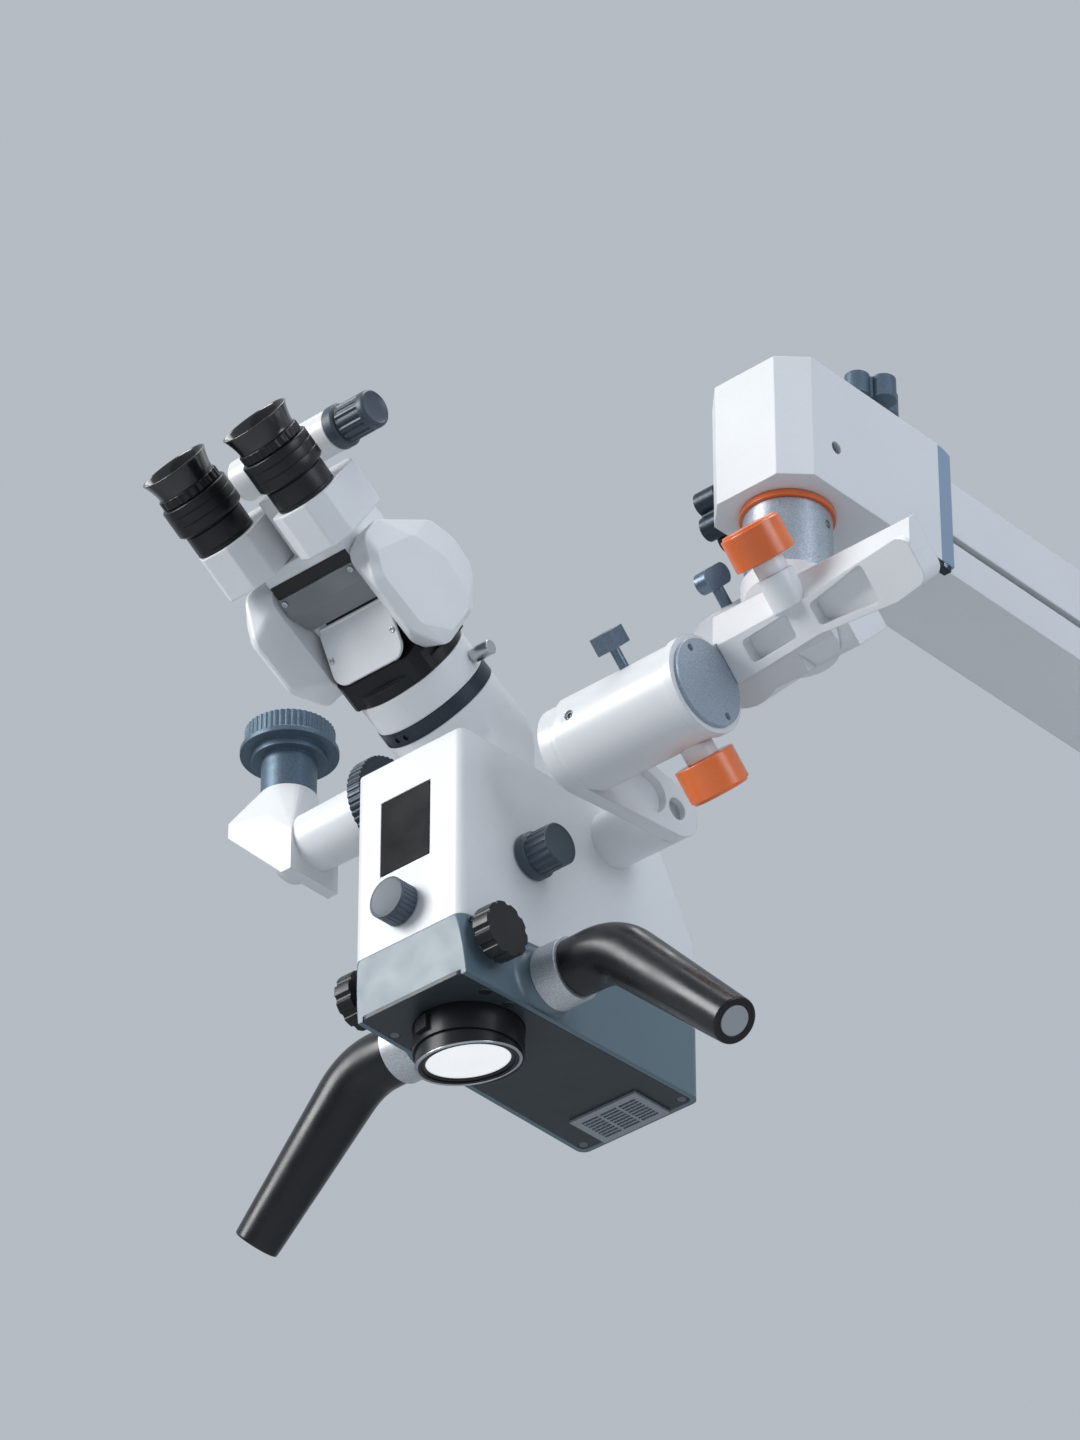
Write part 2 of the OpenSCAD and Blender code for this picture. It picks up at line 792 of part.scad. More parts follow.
// Pocketed beam that turns on the roll axis and carries the tilt drum
module roll_beam() {
    color("white") at_roll() difference() {
        union() {
            translate([0, beam_back, 0]) rotate([90, 0, 0])
                linear_extrude(beam_back - beam_front) beam_outline();
            slab_x(beam_left, beam_right) polygon([[beam_front, beam_top_left - rib_t],
                [beam_back, beam_top_left - rib_t],
                [beam_back, beam_top_mid + beam_ridge], [beam_ridge_b, beam_top_mid + beam_ridge],
                [beam_front, beam_top_left]]);
            box([tongue_left, tongue_b, beam_low_left], [beam_left + over, beam_back, beam_top_left]);
            translate([-roll_x, 0, knuckle_n]) rod_y(roll_shaft_r, beam_back - over, roll_shaft_end);
            translate([brake_x, brake_b, 0])
                rod_z(brake_stem_r + 2 * over, beam_top_mid - over, brake_stem_top - brake_stem_r);
        }
        beam_pocket(beam_left + pocket_start, beam_mid - 3 * rib_t, beam_low_mid - rib_t / 2, beam_low_mid,
            beam_top_left, beam_top_mid + over);
        beam_pocket(beam_mid + rib_t, beam_right - pocket_tail, beam_low_mid, beam_low_corner,
            beam_top_mid, beam_top_right);
        translate([brake_x, brake_b, 0]) rod_z(brake_stem_r + fit, beam_top_mid + rib_t, drum_drop);
        rotate([-roll_angle, 0, 0]) rod_x(drum_ring_r + gap, drum_x0, drum_cap_x + gap);
        translate([0, 0, beam_low_right]) box([beam_right - beam_drill_r, 0, -drum_drop],
            [drum_drop, drum_drop, -over]);
    }
}

// Drum of the tilt joint, with the saddle that seats on the beam
module tilt_drum() {
    x0 = drum_x0;
    color("white") difference() {
        union() {
            at_drum() rod_x(drum_r, x0, drum_cap_x - drum_ring_l);
            at_drum() translate([x0, 0, 0]) rod_x(drum_r - drum_edge, 0, drum_edge);
            at_drum() rod_x(drum_ring_r, drum_cap_x - drum_ring_l, drum_cap_x - cap_t);
            at_roll() box([saddle_left, 0, -saddle_w / 2],
                [drum_cap_x - drum_ring_l, tongue_b, saddle_w / 2]);
        }
        at_drum() rod_x(drum_bore_r, x0 - over, x0 + link_shaft_l + collar_l + over);
        at_roll() translate([lower_brake_x, 0, 0])
            rod_z(lower_stem_r - brake_edge_r + fit, -drum_drop, -drum_bore_r);
        at_roll() translate([lock_x, 0, 0]) rod_z(lock_stem_r + fit, drum_bore_r, drum_drop);
        at_drum() translate([x0 + drum_screw_x, 0, 0]) rod_y(drum_screw_r, -drum_drop, -drum_r + drum_edge);
    }
}

// Screwed cap on the end of the drum
module drum_cap() color("lightsteelblue") at_drum() difference() {
    rod_x(cap_r, drum_cap_x - cap_t, drum_cap_x);
    for (s = [-1, 1]) rotate([roll_angle, 0, 0]) translate([0, 0, s * cap_r * spanner_share])
        rod_x(spanner_r, drum_cap_x - cap_t - over, drum_cap_x + over);
}

// Brake of the tilt joint, square to the roll axis
module tilt_brake_knob() color("orangered") at_roll() translate([lower_brake_x, 0, 0]) mirror([0, 0, 1]) {
    brake_knob(lower_stem_r, drum_r + gap, lower_stem_end);
    rod_z(lower_stem_r - brake_edge_r, drum_bore_r + brake_edge_r, drum_r + brake_edge_r);
}

// Lock screw of the tilt joint, with a square head
module tilt_lock_screw() color("darkslategray") at_roll() translate([lock_x, 0, 0]) {
    rod_z(lock_stem_r, drum_bore_r + over, lock_stem_end + over);
    translate([-lock_w / 2, -lock_w / 2, lock_stem_end]) cube([lock_w, lock_w, lock_h]);
}

// Link between the drum and the body
module link_arm() {
    drop_angle = -asin(link_drop / link_l);
    color("white") at_drum() difference() {
        union() {
            slab_x(link_x0, link_face_x)
                rotate(drop_angle) tangent_outline(link_hub_r, link_foot_r, link_l);
            rod_x(link_hub_r - fit, link_face_x - over, drum_x0 - gap);
            rod_x(link_shaft_r, link_face_x - over, drum_x0 + link_shaft_l);
        }
        slab_x(link_face_x - link_pocket, link_face_x + over) rotate(drop_angle)
            translate([link_hub_r + gap, 0]) tangent_outline(link_hub_r - 2 * link_rim,
                link_foot_r - link_rim,
                link_l - link_hub_r - link_foot_r - link_rim);
        rotate([drop_angle, 0, 0]) translate([0, link_l, 0])
            rod_x(foot_bore_r + fit, link_x0 - over, link_face_x + over);
    }
}

// Pin that joins the link to the body boss
module link_pin() color("gainsboro") at_body() translate([0, pivot_y, pivot_z]) {
    rod_x(foot_bore_r, link_x0 - body_x - pin_depth, link_face_x - body_x - link_pin_short);
}

// Plan outline of the body, inset by a wall
function plan_points(inset) = [[-body_front_w / 2 + inset, inset], [body_front_w / 2 - inset, inset],
    [body_rear_w / 2 - inset, body_l - inset], [-body_rear_w / 2 + inset, body_l - inset]];

// Side outline of the body between its seam and its top
module housing_side(inset,
    low) polygon([[inset - over, base_front_h - low], [seam_rise_y, base_rear_h - low],
    [body_l + over, base_rear_h - low], [body_l - inset, slope_low_z], [slope_start - inset, slope_top_z],
    [slope_start - 2 * body_wall - inset, body_h - inset], [inset - over, body_h - inset]]);

// White upper housing of the body, with the boss of its pivot
module body_housing() color("white") at_body() difference() {
    union() {
        intersection() {
            translate([0, 0, base_front_h]) linear_extrude(body_h - base_front_h)
                round_outline(plan_points(0), body_edge_r);
            slab_x(-body_rear_w, body_rear_w) housing_side(0, 0);
        }
        translate([0, pivot_y, pivot_z]) rod_x(link_foot_r, boss_root, link_x0 - body_x - gap);
    }
    intersection() {
        translate([0, 0, base_front_h - over]) linear_extrude(body_h)
            round_outline(plan_points(body_wall), body_edge_r - body_wall / 2);
        slab_x(-body_rear_w, body_rear_w) housing_side(body_wall, over);
    }
    translate([0, pivot_y, pivot_z])
        rod_x(foot_bore_r, link_x0 - body_x - pin_depth, link_x0 - body_x + over);
    translate([0, optic_y, 0]) rod_z(light_r, body_h - 2 * body_wall, body_h + over);
    translate([0, mag_y, mag_z]) rod_x(mag_shaft_r + fit, 0, mag_x + over);
    translate([dimmer_x, 0, dimmer_z]) rod_y(shaft_r + fit, -over, body_wall + over);
    box([label_x - label_w / 2, -over, label_z - label_h / 2],
        [label_x + label_w / 2, label_recess, label_z + label_h / 2]);
}

// Grey base casting, raked back under its front face
module body_base() color("lightslategray") at_body() difference() {
    union() {
        intersection() {
            linear_extrude(base_rear_h) round_outline(plan_points(0), body_edge_r);
            slab_x(-body_rear_w, body_rear_w) polygon([[base_rake, 0], [body_l, 0], [body_l, base_rear_h],
                [seam_rise_y, base_rear_h], [0, base_front_h]]);
        }
        for (s = [0, 1]) mirror([s, 0, 0]) translate([0, handle_y, handle_z])
            rod_x(handle_boss_r, body_half(handle_y) - body_wall / 2, handle_boss_x);
        for (s = [0, 1]) mirror([s, 0, 0]) translate([0, focus_y, focus_z])
            rod_x(focus_knob_r / 2, 0, focus_boss_x);
    }
    difference() {
        translate([0, 0, -over]) linear_extrude(body_h)
            round_outline(plan_points(body_wall + base_rake / 2), body_edge_r - body_wall / 2, fit);
        translate([0, 0, plate_t]) linear_extrude(body_wall)
            round_outline(plan_points(body_wall), body_edge_r - body_wall / 2);
        translate([0, optic_y, 0]) rod_z(objective_r, plate_t, base_front_h - 2 * body_wall);
    }
    translate([0, 0, -over]) linear_extrude(plate_t + over)
        round_outline(plan_points(plate_inset), body_edge_r - body_wall / 2);
    translate([0, optic_y, 0]) rod_z(objective_r - 2 * barrel_wall, -over, body_h);
    translate([0, focus_y, focus_z]) rod_x(shaft_r + fit, -focus_boss_x - over, focus_boss_x + over);
    translate([0, focus_y, focus_z]) rod_x(pinion_r + gap, -pinion_l / 2 - gap, pinion_l / 2 + gap);
    for (s = [0, 1]) mirror([s, 0, 0]) translate([0, handle_y, handle_z])
        rod_x(stub_shaft_r, handle_boss_x - stub_depth / 2, handle_boss_x + over);
}

// Screw places on the underside, along both sides of the body
function screw_places() = [for (s = [-1, 1], y = screw_rows) [s * (body_half(y) - screw_inset), y]];

// Dark plate that closes the base
module base_plate() color("darkslategray") at_body() difference() {
    linear_extrude(plate_t - gap)
        round_outline(plan_points(plate_inset + gap), body_edge_r - body_wall / 2);
    translate([0, optic_y, 0]) rod_z(objective_r + gap, -over, plate_t + over);
    for (p = screw_places()) translate([p[0], p[1], 0])
        rod_z(screw_r + gap, -over, screw_head_h - over / 2);
    for (p = screw_places()) translate([p[0], p[1], 0]) rod_z(screw_shank_r, -over, plate_t + over);
    translate([-vent_w / 2 + slot_margin, vent_y - vent_l / 2 + slot_margin, -over])
        cube([vent_w - 2 * slot_margin, vent_l - 2 * slot_margin, plate_t + 2 * over]);
}

// Slotted grille over the fan opening
module vent_grille() {
    pitch_y = (vent_l - 2 * slot_margin) / vent_rows;
    pitch_x = (vent_w - 2 * slot_margin) / vent_cols;
    color("gray") at_body() difference() {
        translate([-vent_w / 2, vent_y - vent_l / 2, -vent_t]) cube([vent_w, vent_l, vent_t]);
        for (i = [0 : vent_rows - 1], j = [0 : vent_cols - 1])
            translate([-vent_w / 2 + slot_margin + j * pitch_x + slot_w / 2,
                vent_y - vent_l / 2 + slot_margin + (i + slot_share) * pitch_y, -vent_t - over])
                cube([pitch_x - slot_w, slot_w, vent_t + 2 * over]);
    }
}

// Countersunk screws of the base plate
module body_screws() color("dimgray") at_body() for (p = screw_places()) translate([p[0], p[1], 0]) {
    rod_z(screw_r, 0, screw_head_h - over / 2);
    rod_z(screw_shank_r, 0, plate_t);
}

// Lamp with its cooling fins
module lamp_module() color("gray") at_body() translate([0, lamp_y, lamp_z]) {
    rod_y(lamp_r, -lamp_l / 2, lamp_l / 2);
    for (i = [0 : fin_count - 1]) translate([0, (i + 1) * 2 * fin_t, 0]) rod_y(fin_r, 0, fin_t);
    box([-lamp_r / 2, -lamp_l / 4, -lamp_z + plate_t + body_wall], [lamp_r / 2, lamp_l / 4, 0]);
}

// Brightness knob on the front face
module dimmer_knob() color("slategray") at_body() translate([dimmer_x, 0, dimmer_z]) {
    translate([0, -gap, 0]) rotate([90, 0, 0]) fluted_knob(dimmer_r, dimmer_h, knob_flutes, knob_flute_r);
    rod_y(shaft_r, -over, body_wall + 2 * over);
}

// Magnification knob on the right side
module mag_knob() color("slategray") at_body() translate([mag_x, mag_y, mag_z]) {
    rod_x(mag_collar_r, 0, mag_collar_h);
    translate([mag_collar_h, 0, 0])
        rotate([0, 90, 0]) fluted_knob(mag_knob_r, mag_h, wide_flutes, 2 * knob_flute_r);
}

// Magnification drum, with its two pairs of lens channels and its shaft
module mag_drum() color("dimgray") at_body() translate([0, mag_y, mag_z]) difference() {
    union() {
        rod_x(mag_drum_r, -mag_drum_l / 2, mag_drum_l / 2);
        rod_x(mag_shaft_r, 0, mag_x);
    }
    for (s = [-1, 1], a = [0, 90]) rotate([a, 0, 0]) translate([s * (lens_bore_r + body_wall), 0, 0])
        rod_z(lens_bore_r, -mag_drum_r - over, mag_drum_r + over);
}

// Two focus knobs on their common shaft with the pinion
module focus_knobs() color("black") at_body() translate([0, focus_y, focus_z]) {
    start = focus_boss_x + gap;
    rod_x(shaft_r, -start - over, start + over);
    rod_x(pinion_r, -pinion_l / 2, pinion_l / 2);
    for (s = [-1, 1]) rotate([0, s * 90, 0]) translate([0, 0, start])
        fluted_knob(focus_knob_r, focus_knob_h, wide_flutes, 2 * knob_flute_r);
}

// Fixed barrel of the objective, with the pad of its clamp screw
module objective_barrel() color("black") at_body() translate([0, optic_y, 0]) difference() {
    union() {
        rod_z(objective_r, -barrel_h, plate_t - gap);
        rotate([0, 0, clamp_boss_angle])
            translate([objective_r - barrel_wall, -clamp_boss_w / 2, -barrel_h + clamp_boss_h / 2])
            cube([2 * barrel_wall, clamp_boss_w, clamp_boss_h]);
    }
    rod_z(objective_r - 2 * barrel_wall, -barrel_h - over, plate_t);
}

// Tilted cut of the hood and the window
module tilted_window(offset_z) translate([0, 0, -hood_mid + offset_z])
    rotate([window_tilt, 0, 0]) children();

// Lower hood of the objective, cut square to the tilted window
module objective_hood() color("black") at_body() translate([0, optic_y, 0]) difference() {
    rod_z(hood_r, -hood_mid - hood_r * tan(window_tilt) - over, -barrel_h);
    tilted_window(0) box([-2 * hood_r, -2 * hood_r, -2 * hood_r], [2 * hood_r, 2 * hood_r, 0]);
    rod_z(hood_r - hood_wall, -3 * hood_mid, 0);
}

// Tilted front window
module front_window() color("white") at_body() translate([0, optic_y, 0]) intersection() {
    tilted_window(window_recess) rod_z(hood_r, 0, window_t);
    rod_z(hood_r - hood_wall, -3 * hood_mid, plate_t);
}

// Lens cell that the focus shaft moves
module lens_cell() color("silver") at_body() translate([0, optic_y, cell_z]) difference() {
    union() {
        rod_z(objective_r - 2 * barrel_wall - gap, 0, cell_h);
        box([-rack_w / 2, focus_y + pinion_r + gap - optic_y, 0],
            [rack_w / 2, focus_y + pinion_r + gap + rack_t - optic_y, rack_h]);
    }
    rod_z(objective_r - 2 * barrel_wall - gap - cell_wall, -over, cell_wall);
    rod_z(objective_r - 2 * barrel_wall - gap - cell_wall, cell_h - cell_wall, cell_h + over);
}

// Metal collars of the two handles, with the stub shafts that the grips turn on
module handle_collars() color("silver") at_body() for (s = [0, 1]) mirror([s, 0, 0])
    translate([0, handle_y, handle_z]) {
    rod_x(collar_r, handle_boss_x, handle_boss_x + handle_collar_l);
    rod_x(stub_shaft_r, handle_boss_x - stub_depth / 2 + over,
        handle_boss_x + handle_collar_l + stub_depth);
}

// Bent grip, drawn for the right side: straight root, round bend, tapered end
module grip() {
    x0 = handle_boss_x + handle_collar_l + gap;
    run = bend_r * tan(grip_bend / 2);
    difference() {
        rotate([grip_swing, 0, 0]) {
            rod_x(grip_r - bend_swell, x0, bend_x - run + over);
            translate([bend_x - run, 0, -bend_r]) rotate([90, 0, 0]) rotate([0, 0, 90 - grip_bend])
                rotate_extrude(angle = grip_bend) translate([bend_r, 0]) circle(r = grip_r);
            translate([bend_x - run, 0, -bend_r]) rotate([0, grip_bend, 0]) translate([-over, 0, bend_r])
                rotate([0, 90, 0])
                cylinder(r1 = grip_r - bend_swell, r2 = grip_end_r, h = grip_l - run + over);
        }
        rod_x(stub_shaft_r + fit, x0 - over, handle_boss_x + handle_collar_l + stub_depth + over);
        rotate([grip_swing, 0, 0]) translate([bend_x - run, 0, -bend_r]) rotate([0, grip_bend, 0])
            translate([0, 0, bend_r]) rotate([0, 90, 0]) translate([0, 0, grip_l - run - grip_cap_depth])
            cylinder(r = grip_cap_r, h = grip_l);
    }
}
module handle_grip_right() color("black") at_body() translate([0, handle_y, handle_z]) grip();
module handle_grip_left() color("black") at_body() translate([0, handle_y, handle_z])
    mirror([1, 0, 0]) grip();

// Elbow between the body and the binocular, with the stub of the camera port
module tube_neck() color("white") at_bend() difference() {
    union() {
        rod_z(foot_flange_r, -bend_rise, -bend_rise + foot_flange_h);
        rod_z(tube_r, -bend_rise, 0);
        sphere(r = tube_r);
        rotate([tube_angle, 0, 0]) rod_z(tube_r, 0, neck_end);
        translate([0, 0, -port_drop]) rod_x(port_stub_r, -port_stub_end, 0);
    }
    rod_z(light_r, -bend_rise - over, 0);
    rotate([tube_angle, 0, 0]) rod_z(light_r, 0, neck_end + over);
    sphere(r = light_r);
    translate([0, 0, -port_drop]) rod_x(port_stub_r - cell_wall, -port_stub_end - over, 0);
    rotate([tube_angle, 0, 0]) rod_z(2 * tube_r, neck_end, 2 * neck_end);
    rod_z(2 * tube_r, -2 * bend_rise, -bend_rise);
}

// Dark clamp ring on the end of the elbow
module neck_clamp_ring() color("darkslategray") at_tube() difference() {
    rod_z(tube_r + gap, neck_end + gap, clamp_end);
    rod_z(light_r, neck_end, clamp_end + over);
    for (i = [0, 1]) rotate([0, 0, ring_hole_angle + i * ring_hole_step])
        translate([0, 0, (neck_end + clamp_end) / 2])
        rod_x(ring_hole_r, tube_r - over, tube_r + 2 * over);
}

// White collar of the binocular that turns in the clamp ring
module tube_collar() color("white") at_tube() difference() {
    union() {
        rod_z(tube_r - gap, clamp_end + gap, collar_end);
        rod_z(tube_r - over, clamp_end + gap, collar_end);
    }
    rod_z(light_r, clamp_end, collar_end + over);
    translate([0, clamp_pin_y, clamp_pin_z]) rod_x(clamp_pin_r / 2 + fit, light_r, tube_r + over);
}

// Clamp screw of the collar
module tube_clamp_screw() color("silver") at_tube() translate([0, clamp_pin_y, clamp_pin_z]) {
    rod_x(clamp_pin_r, tube_r + gap, tube_r + clamp_pin_len - 2 * clamp_pin_r + clamp_pin_r);
    rod_x(clamp_pin_r / 2, tube_r - 2 * clamp_pin_r, tube_r + over);
}

// Knurled ring that locks the camera port
module port_lock_ring() color("darkslategray") at_port() translate([-lock_ring_x, 0, 0]) difference() {
    rotate([0, 90, 0]) fluted_knob(lock_ring_r, lock_ring_l, lock_teeth, knob_flute_r);
    rod_x(port_stub_r + fit, -over, lock_ring_l + over);
}

// Slice of the camera mirror box, as wide as the box
module port_box_slab(outline) translate([0, port_box_w / 2, 0]) rotate([90, 0, 0])
    linear_extrude(port_box_w) polygon(outline);

// White elbow of the camera port: its skin runs from the round neck down to the mirror
module port_elbow() color("white") at_port() difference() {
    union() {
        translate([-tower_x, 0, 0]) hull() {
            port_box_slab([[-port_box_left, port_box_side], [-port_box_left, port_box_top],
                [port_box_right, 0],
                [port_box_right, -port_box_bottom], [port_box_right - port_box_flat, -port_box_bottom]]);
            translate([0, 0, port_neck_low]) cylinder(r = port_neck_r, h = over, $fn = soft_fn);
            translate([0, 0, port_neck_top - over])
                cylinder(r = camera_tube_r + over, h = over, $fn = soft_fn);
        }
        translate([-tower_x, 0, 0]) rotate([0, 90, 0])
            cylinder(r1 = cone_tip_r, r2 = cone_r, h = tower_x - lock_ring_x - gap);
        rod_x(port_stub_r, -lock_ring_x - over, -port_stub_end - gap);
    }
    rod_x(port_stub_r - 2 * cell_wall, -tower_x, 0);
    translate([-tower_x, 0, 0]) rod_z(port_stub_r - 2 * cell_wall, 0, port_neck_top + over);
}

// Vertical photo tube with its flange
module photo_tube() color("steelblue") at_port() translate([-tower_x, 0, 0]) difference() {
    union() {
        rod_z(camera_tube_r, port_neck_top, photo_top + flange_h);
        rod_z(step_r, photo_top - step_h, photo_top);
        rod_z(flange_r, photo_top, photo_top + flange_h);
        rod_z(adapter_r, photo_top, photo_top + flange_h + camera_ring_h);
    }
    rod_z(adapter_r - cell_wall, port_neck_top - over, photo_top + flange_h + camera_ring_h + over);
}

// Knurled ring that a camera is screwed to
module camera_ring() color("steelblue") at_port() translate([-tower_x, 0, photo_top + flange_h + gap])
    difference() {
    fluted_knob(camera_ring_r, camera_ring_h, camera_teeth, knob_flute_r);
    rod_z(adapter_r + fit, -over, camera_ring_h + over);
}

// Black housing of the tilting hinge
module hinge_housing() {
    mid = housing_half_w - ear_t - gap;
    color("black") at_tube() difference() {
        union() {
            rod_z(tube_r - over, collar_end + gap, black_end);
            intersection() {
                rod_z(housing_round_r, collar_end + over, hinge_z + hinge_barrel_r + over);
                union() {
                    slab_x(-mid, mid) polygon([[housing_low, collar_end], [housing_high, collar_end],
                        [housing_high, hinge_z - hinge_barrel_r - housing_high / 2],
                            [hinge_barrel_r, hinge_z],
                        [-hinge_barrel_r, hinge_z - over], [housing_low, plate_low_z]]);
                    translate([0, 0, hinge_z]) rod_x(hinge_barrel_r, -mid, mid);
                    slab_x(-housing_half_w, housing_half_w) polygon([[housing_low, collar_end],
                        [housing_high, collar_end],
                            [housing_high, hinge_z - 2 * hinge_barrel_r - housing_high / 2],
                        [0, hinge_z - 2 * hinge_barrel_r], [housing_low, plate_low_z]]);
                }
            }
        }
        rod_z(light_r - body_wall, collar_end, hinge_z - hinge_barrel_r);
    }
}

// Side outline of a hinge cover from its corner shares
module cover_outline(shares, round_share) {
    round_outline([for (p = shares) cover_r * p], round_share * cover_r, $fn = soft_fn);
}

// Two flared side covers, with the journals that the upper half tilts on
module hinge_covers() color("white") at_hinge() for (s = [0, 1]) mirror([s, 0, 0]) {
    hull() {
        slab_x(cover_x0, cover_neck_x) cover_outline(cover_neck_shares, cover_neck_round);
        slab_x(cover_rim_x, cover_rim_x + cover_rim_t) cover_outline(cover_rim_shares, cover_rim_round);
        slab_x(cover_rim_x, cover_x1) cover_outline(cover_face_shares, cover_face_round);
    }
    rod_x(hinge_pin_r, cover_x0 - ear_t + gap, cover_x0 + over);
}

// White plate on the lower face of the hinge housing
module hinge_front_plate() {
    run = [-hinge_barrel_r - housing_low, hinge_z - over - plate_low_z];
    slope = atan2(run[1], run[0]);
    w = front_plate_w / 2;
    l = norm(run) - 2 * over;
    color("white") at_tube() translate([0, housing_low, plate_low_z]) rotate([slope, 0, 0])
        translate([0, over, gap]) linear_extrude(front_plate_t) {
        round_outline([[-w, 0], [w, 0], [w, l - plate_top_r], [-w, l - plate_top_r]], front_plate_r, fit);
        round_outline([[-w, l / 2], [w, l / 2], [w, l], [-w, l]], plate_top_r, fit);
    }
}

// Part of the binocular that tilts, with the bridge of the pupil distance screw
module tilt_carriage() {
    w = carriage_half_w;
    color("white") at_eyes() difference() {
        union() {
            slab_x(-w, w) polygon([[carriage_low, carriage_step], [carriage_low, carriage_end],
                [carriage_high, carriage_end],
                [carriage_high, 2 * hinge_barrel_r], [hinge_barrel_r + gap, hinge_barrel_r + over],
                [step_lip_p, step_lip_e]]);
            for (s = [0, 1]) mirror([s, 0, 0]) {
                rod_x(hinge_barrel_r, w - ear_t + gap, w);
                box([w - ear_t + gap, -hinge_barrel_r, 0], [w, hinge_barrel_r, hinge_barrel_r + 2 * over]);
            }
            box([-web_half_w, carriage_low + rib_t, carriage_end - over], [web_half_w, ipd_p, web_end]);
            translate([0, ipd_p, ipd_e]) rod_x(ipd_boss_r, -ipd_boss_half, ipd_boss_half);
        }
        for (s = [0, 1]) mirror([s, 0, 0]) rod_x(hinge_pin_r + fit, w - ear_t, cover_x0);
        rod_x(hinge_barrel_r + gap, -w + ear_t - gap, w - ear_t + gap);
        translate([0, ipd_p, ipd_e]) rod_x(ipd_shaft_r + fit, 0, ipd_boss_half + over);
    }
}

// Bent sheet plate under the carriage
module hinge_step_plate() {
    bend = [carriage_low, carriage_step];
    lip = [step_lip_p, step_lip_e];
    out = step_plate_t * [unit(lip - bend)[1], -unit(lip - bend)[0]];
    turn = unit(out + [-step_plate_t, 0]) * step_plate_t / cos(acos(unit(out) * [-1, 0]) / 2);
    color("gray") at_eyes() slab_x(-carriage_half_w + over, carriage_half_w - over) translate([-gap, 0])
        polygon([[carriage_low, step_top], bend, lip, lip + out, bend + turn,
            [carriage_low - step_plate_t, step_top]]);
}

// Knob of the pupil distance screw
module ipd_knob() color("slategray") at_eyes() translate([ipd_boss_half + gap, ipd_p, ipd_e]) {
    rod_x(ipd_collar_r, 0, ipd_collar_l);
    translate([ipd_collar_l, 0, 0])
        rotate([0, 90, 0]) fluted_knob(ipd_knob_r, ipd_knob_l, wide_flutes, knob_flute_r);
    rod_x(ipd_shaft_r, -ipd_boss_half / 2, over);
}

// Prism box of one eyepiece, drawn for the right side
module prism_box() difference() {
    translate([0, 0, box_back]) linear_extrude(box_front - box_back)
        round_outline([[box_inner, box_in_low], [box_low_in, box_low], [box_low_out, box_low],
            [box_outer, box_side_low],
            [box_outer, box_side_high], [box_outer - 2 * box_edge_r, box_top], [box_inner, box_top]],
                box_edge_r);
    translate([pupil_distance / 2, eye_p, 0]) rod_z(sleeve_r, box_front - sleeve_l, box_front + over);
}
module prism_box_right() color("white") at_eyes() prism_box();
module prism_box_left() color("white") at_eyes() mirror([1, 0, 0]) prism_box();

// Eyepiece barrel on its own axis
module eyepiece() {
    start = box_front - eye_e;
    difference() {
        union() {
            rod_z(sleeve_r, start - sleeve_l + over, start);
            rod_z(eye_low_r, start, start + eye_low_l);
            rod_z(eye_low_r - eye_groove, start, start + eye_low_l + eye_groove);
            rod_z(eyepiece_r, start + eye_low_l + eye_groove, start + eye_low_l + eye_groove + eye_high_l);
            rod_z(eye_tube_r, start, start + eye_low_l + eye_groove + eye_high_l + eye_tube_l);
        }
        rod_z(eye_bore_r, start + eye_low_l + eye_high_l, start + eye_low_l + eye_high_l + 2 * eye_tube_l);
    }
}
module eyepiece_right() color("black") at_eye(1) eyepiece();
module eyepiece_left() color("black") at_eye(-1) eyepiece();

// Diopter ring with its flared cup
module eyecup() {
    start = box_front - eye_e + eye_low_l + eye_groove + eye_high_l + gap;
    translate([0, 0, start]) difference() {
        union() {
            fluted_knob(diopter_r, diopter_l, diopter_flutes, knob_flute_r / 2);
            translate([0, 0, diopter_l]) cylinder(r1 = cup_neck_r, r2 = cup_rim_r, h = cup_l);
        }
        rod_z(eye_tube_r + fit, -over, diopter_l + over);
        translate([0, 0, diopter_l]) cylinder(r1 = cup_bore_r, r2 = cup_rim_r - cup_wall, h = cup_l);
        translate([0, 0, diopter_l + cup_l - gap]) cylinder(r = cup_rim_r - cup_wall, h = over);
    }
}
module eyecup_right() color("black") at_eye(1) eyecup();
module eyecup_left() color("black") at_eye(-1) eyecup();

arm_base();
arm_lower_shell();
arm_upper_shell();
arm_spring();
base_pivot_pins();
head_pivot_pins();
head_block();
head_end_collar();
head_bearing();
head_side_knob();
head_top_knob();
spindle();
spindle_ring();
yoke_casting();
roll_brake_knob();
roll_wing_screw();
roll_beam();
tilt_drum();
drum_cap();
tilt_brake_knob();
tilt_lock_screw();
link_arm();
link_pin();
body_housing();
body_base();
base_plate();
vent_grille();
body_screws();
lamp_module();
dimmer_knob();
mag_knob();
mag_drum();
focus_knobs();
objective_barrel();
objective_hood();
front_window();
lens_cell();
handle_collars();
handle_grip_right();
handle_grip_left();
tube_neck();
neck_clamp_ring();
tube_clamp_screw();
port_lock_ring();
port_elbow();
photo_tube();
camera_ring();
tube_collar();
hinge_housing();
hinge_covers();
hinge_front_plate();
hinge_step_plate();
tilt_carriage();
ipd_knob();
prism_box_right();
prism_box_left();
eyepiece_right();
eyepiece_left();
eyecup_right();
eyecup_left();
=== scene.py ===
"""Looks of the dental microscope on its suspension arm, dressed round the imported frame.

Places in the scene are metres. Pieces made here are drawn in millimetres, each in a frame of its own.
"""

import json
import math

import bmesh
import bpy
from mathutils import Matrix, Vector


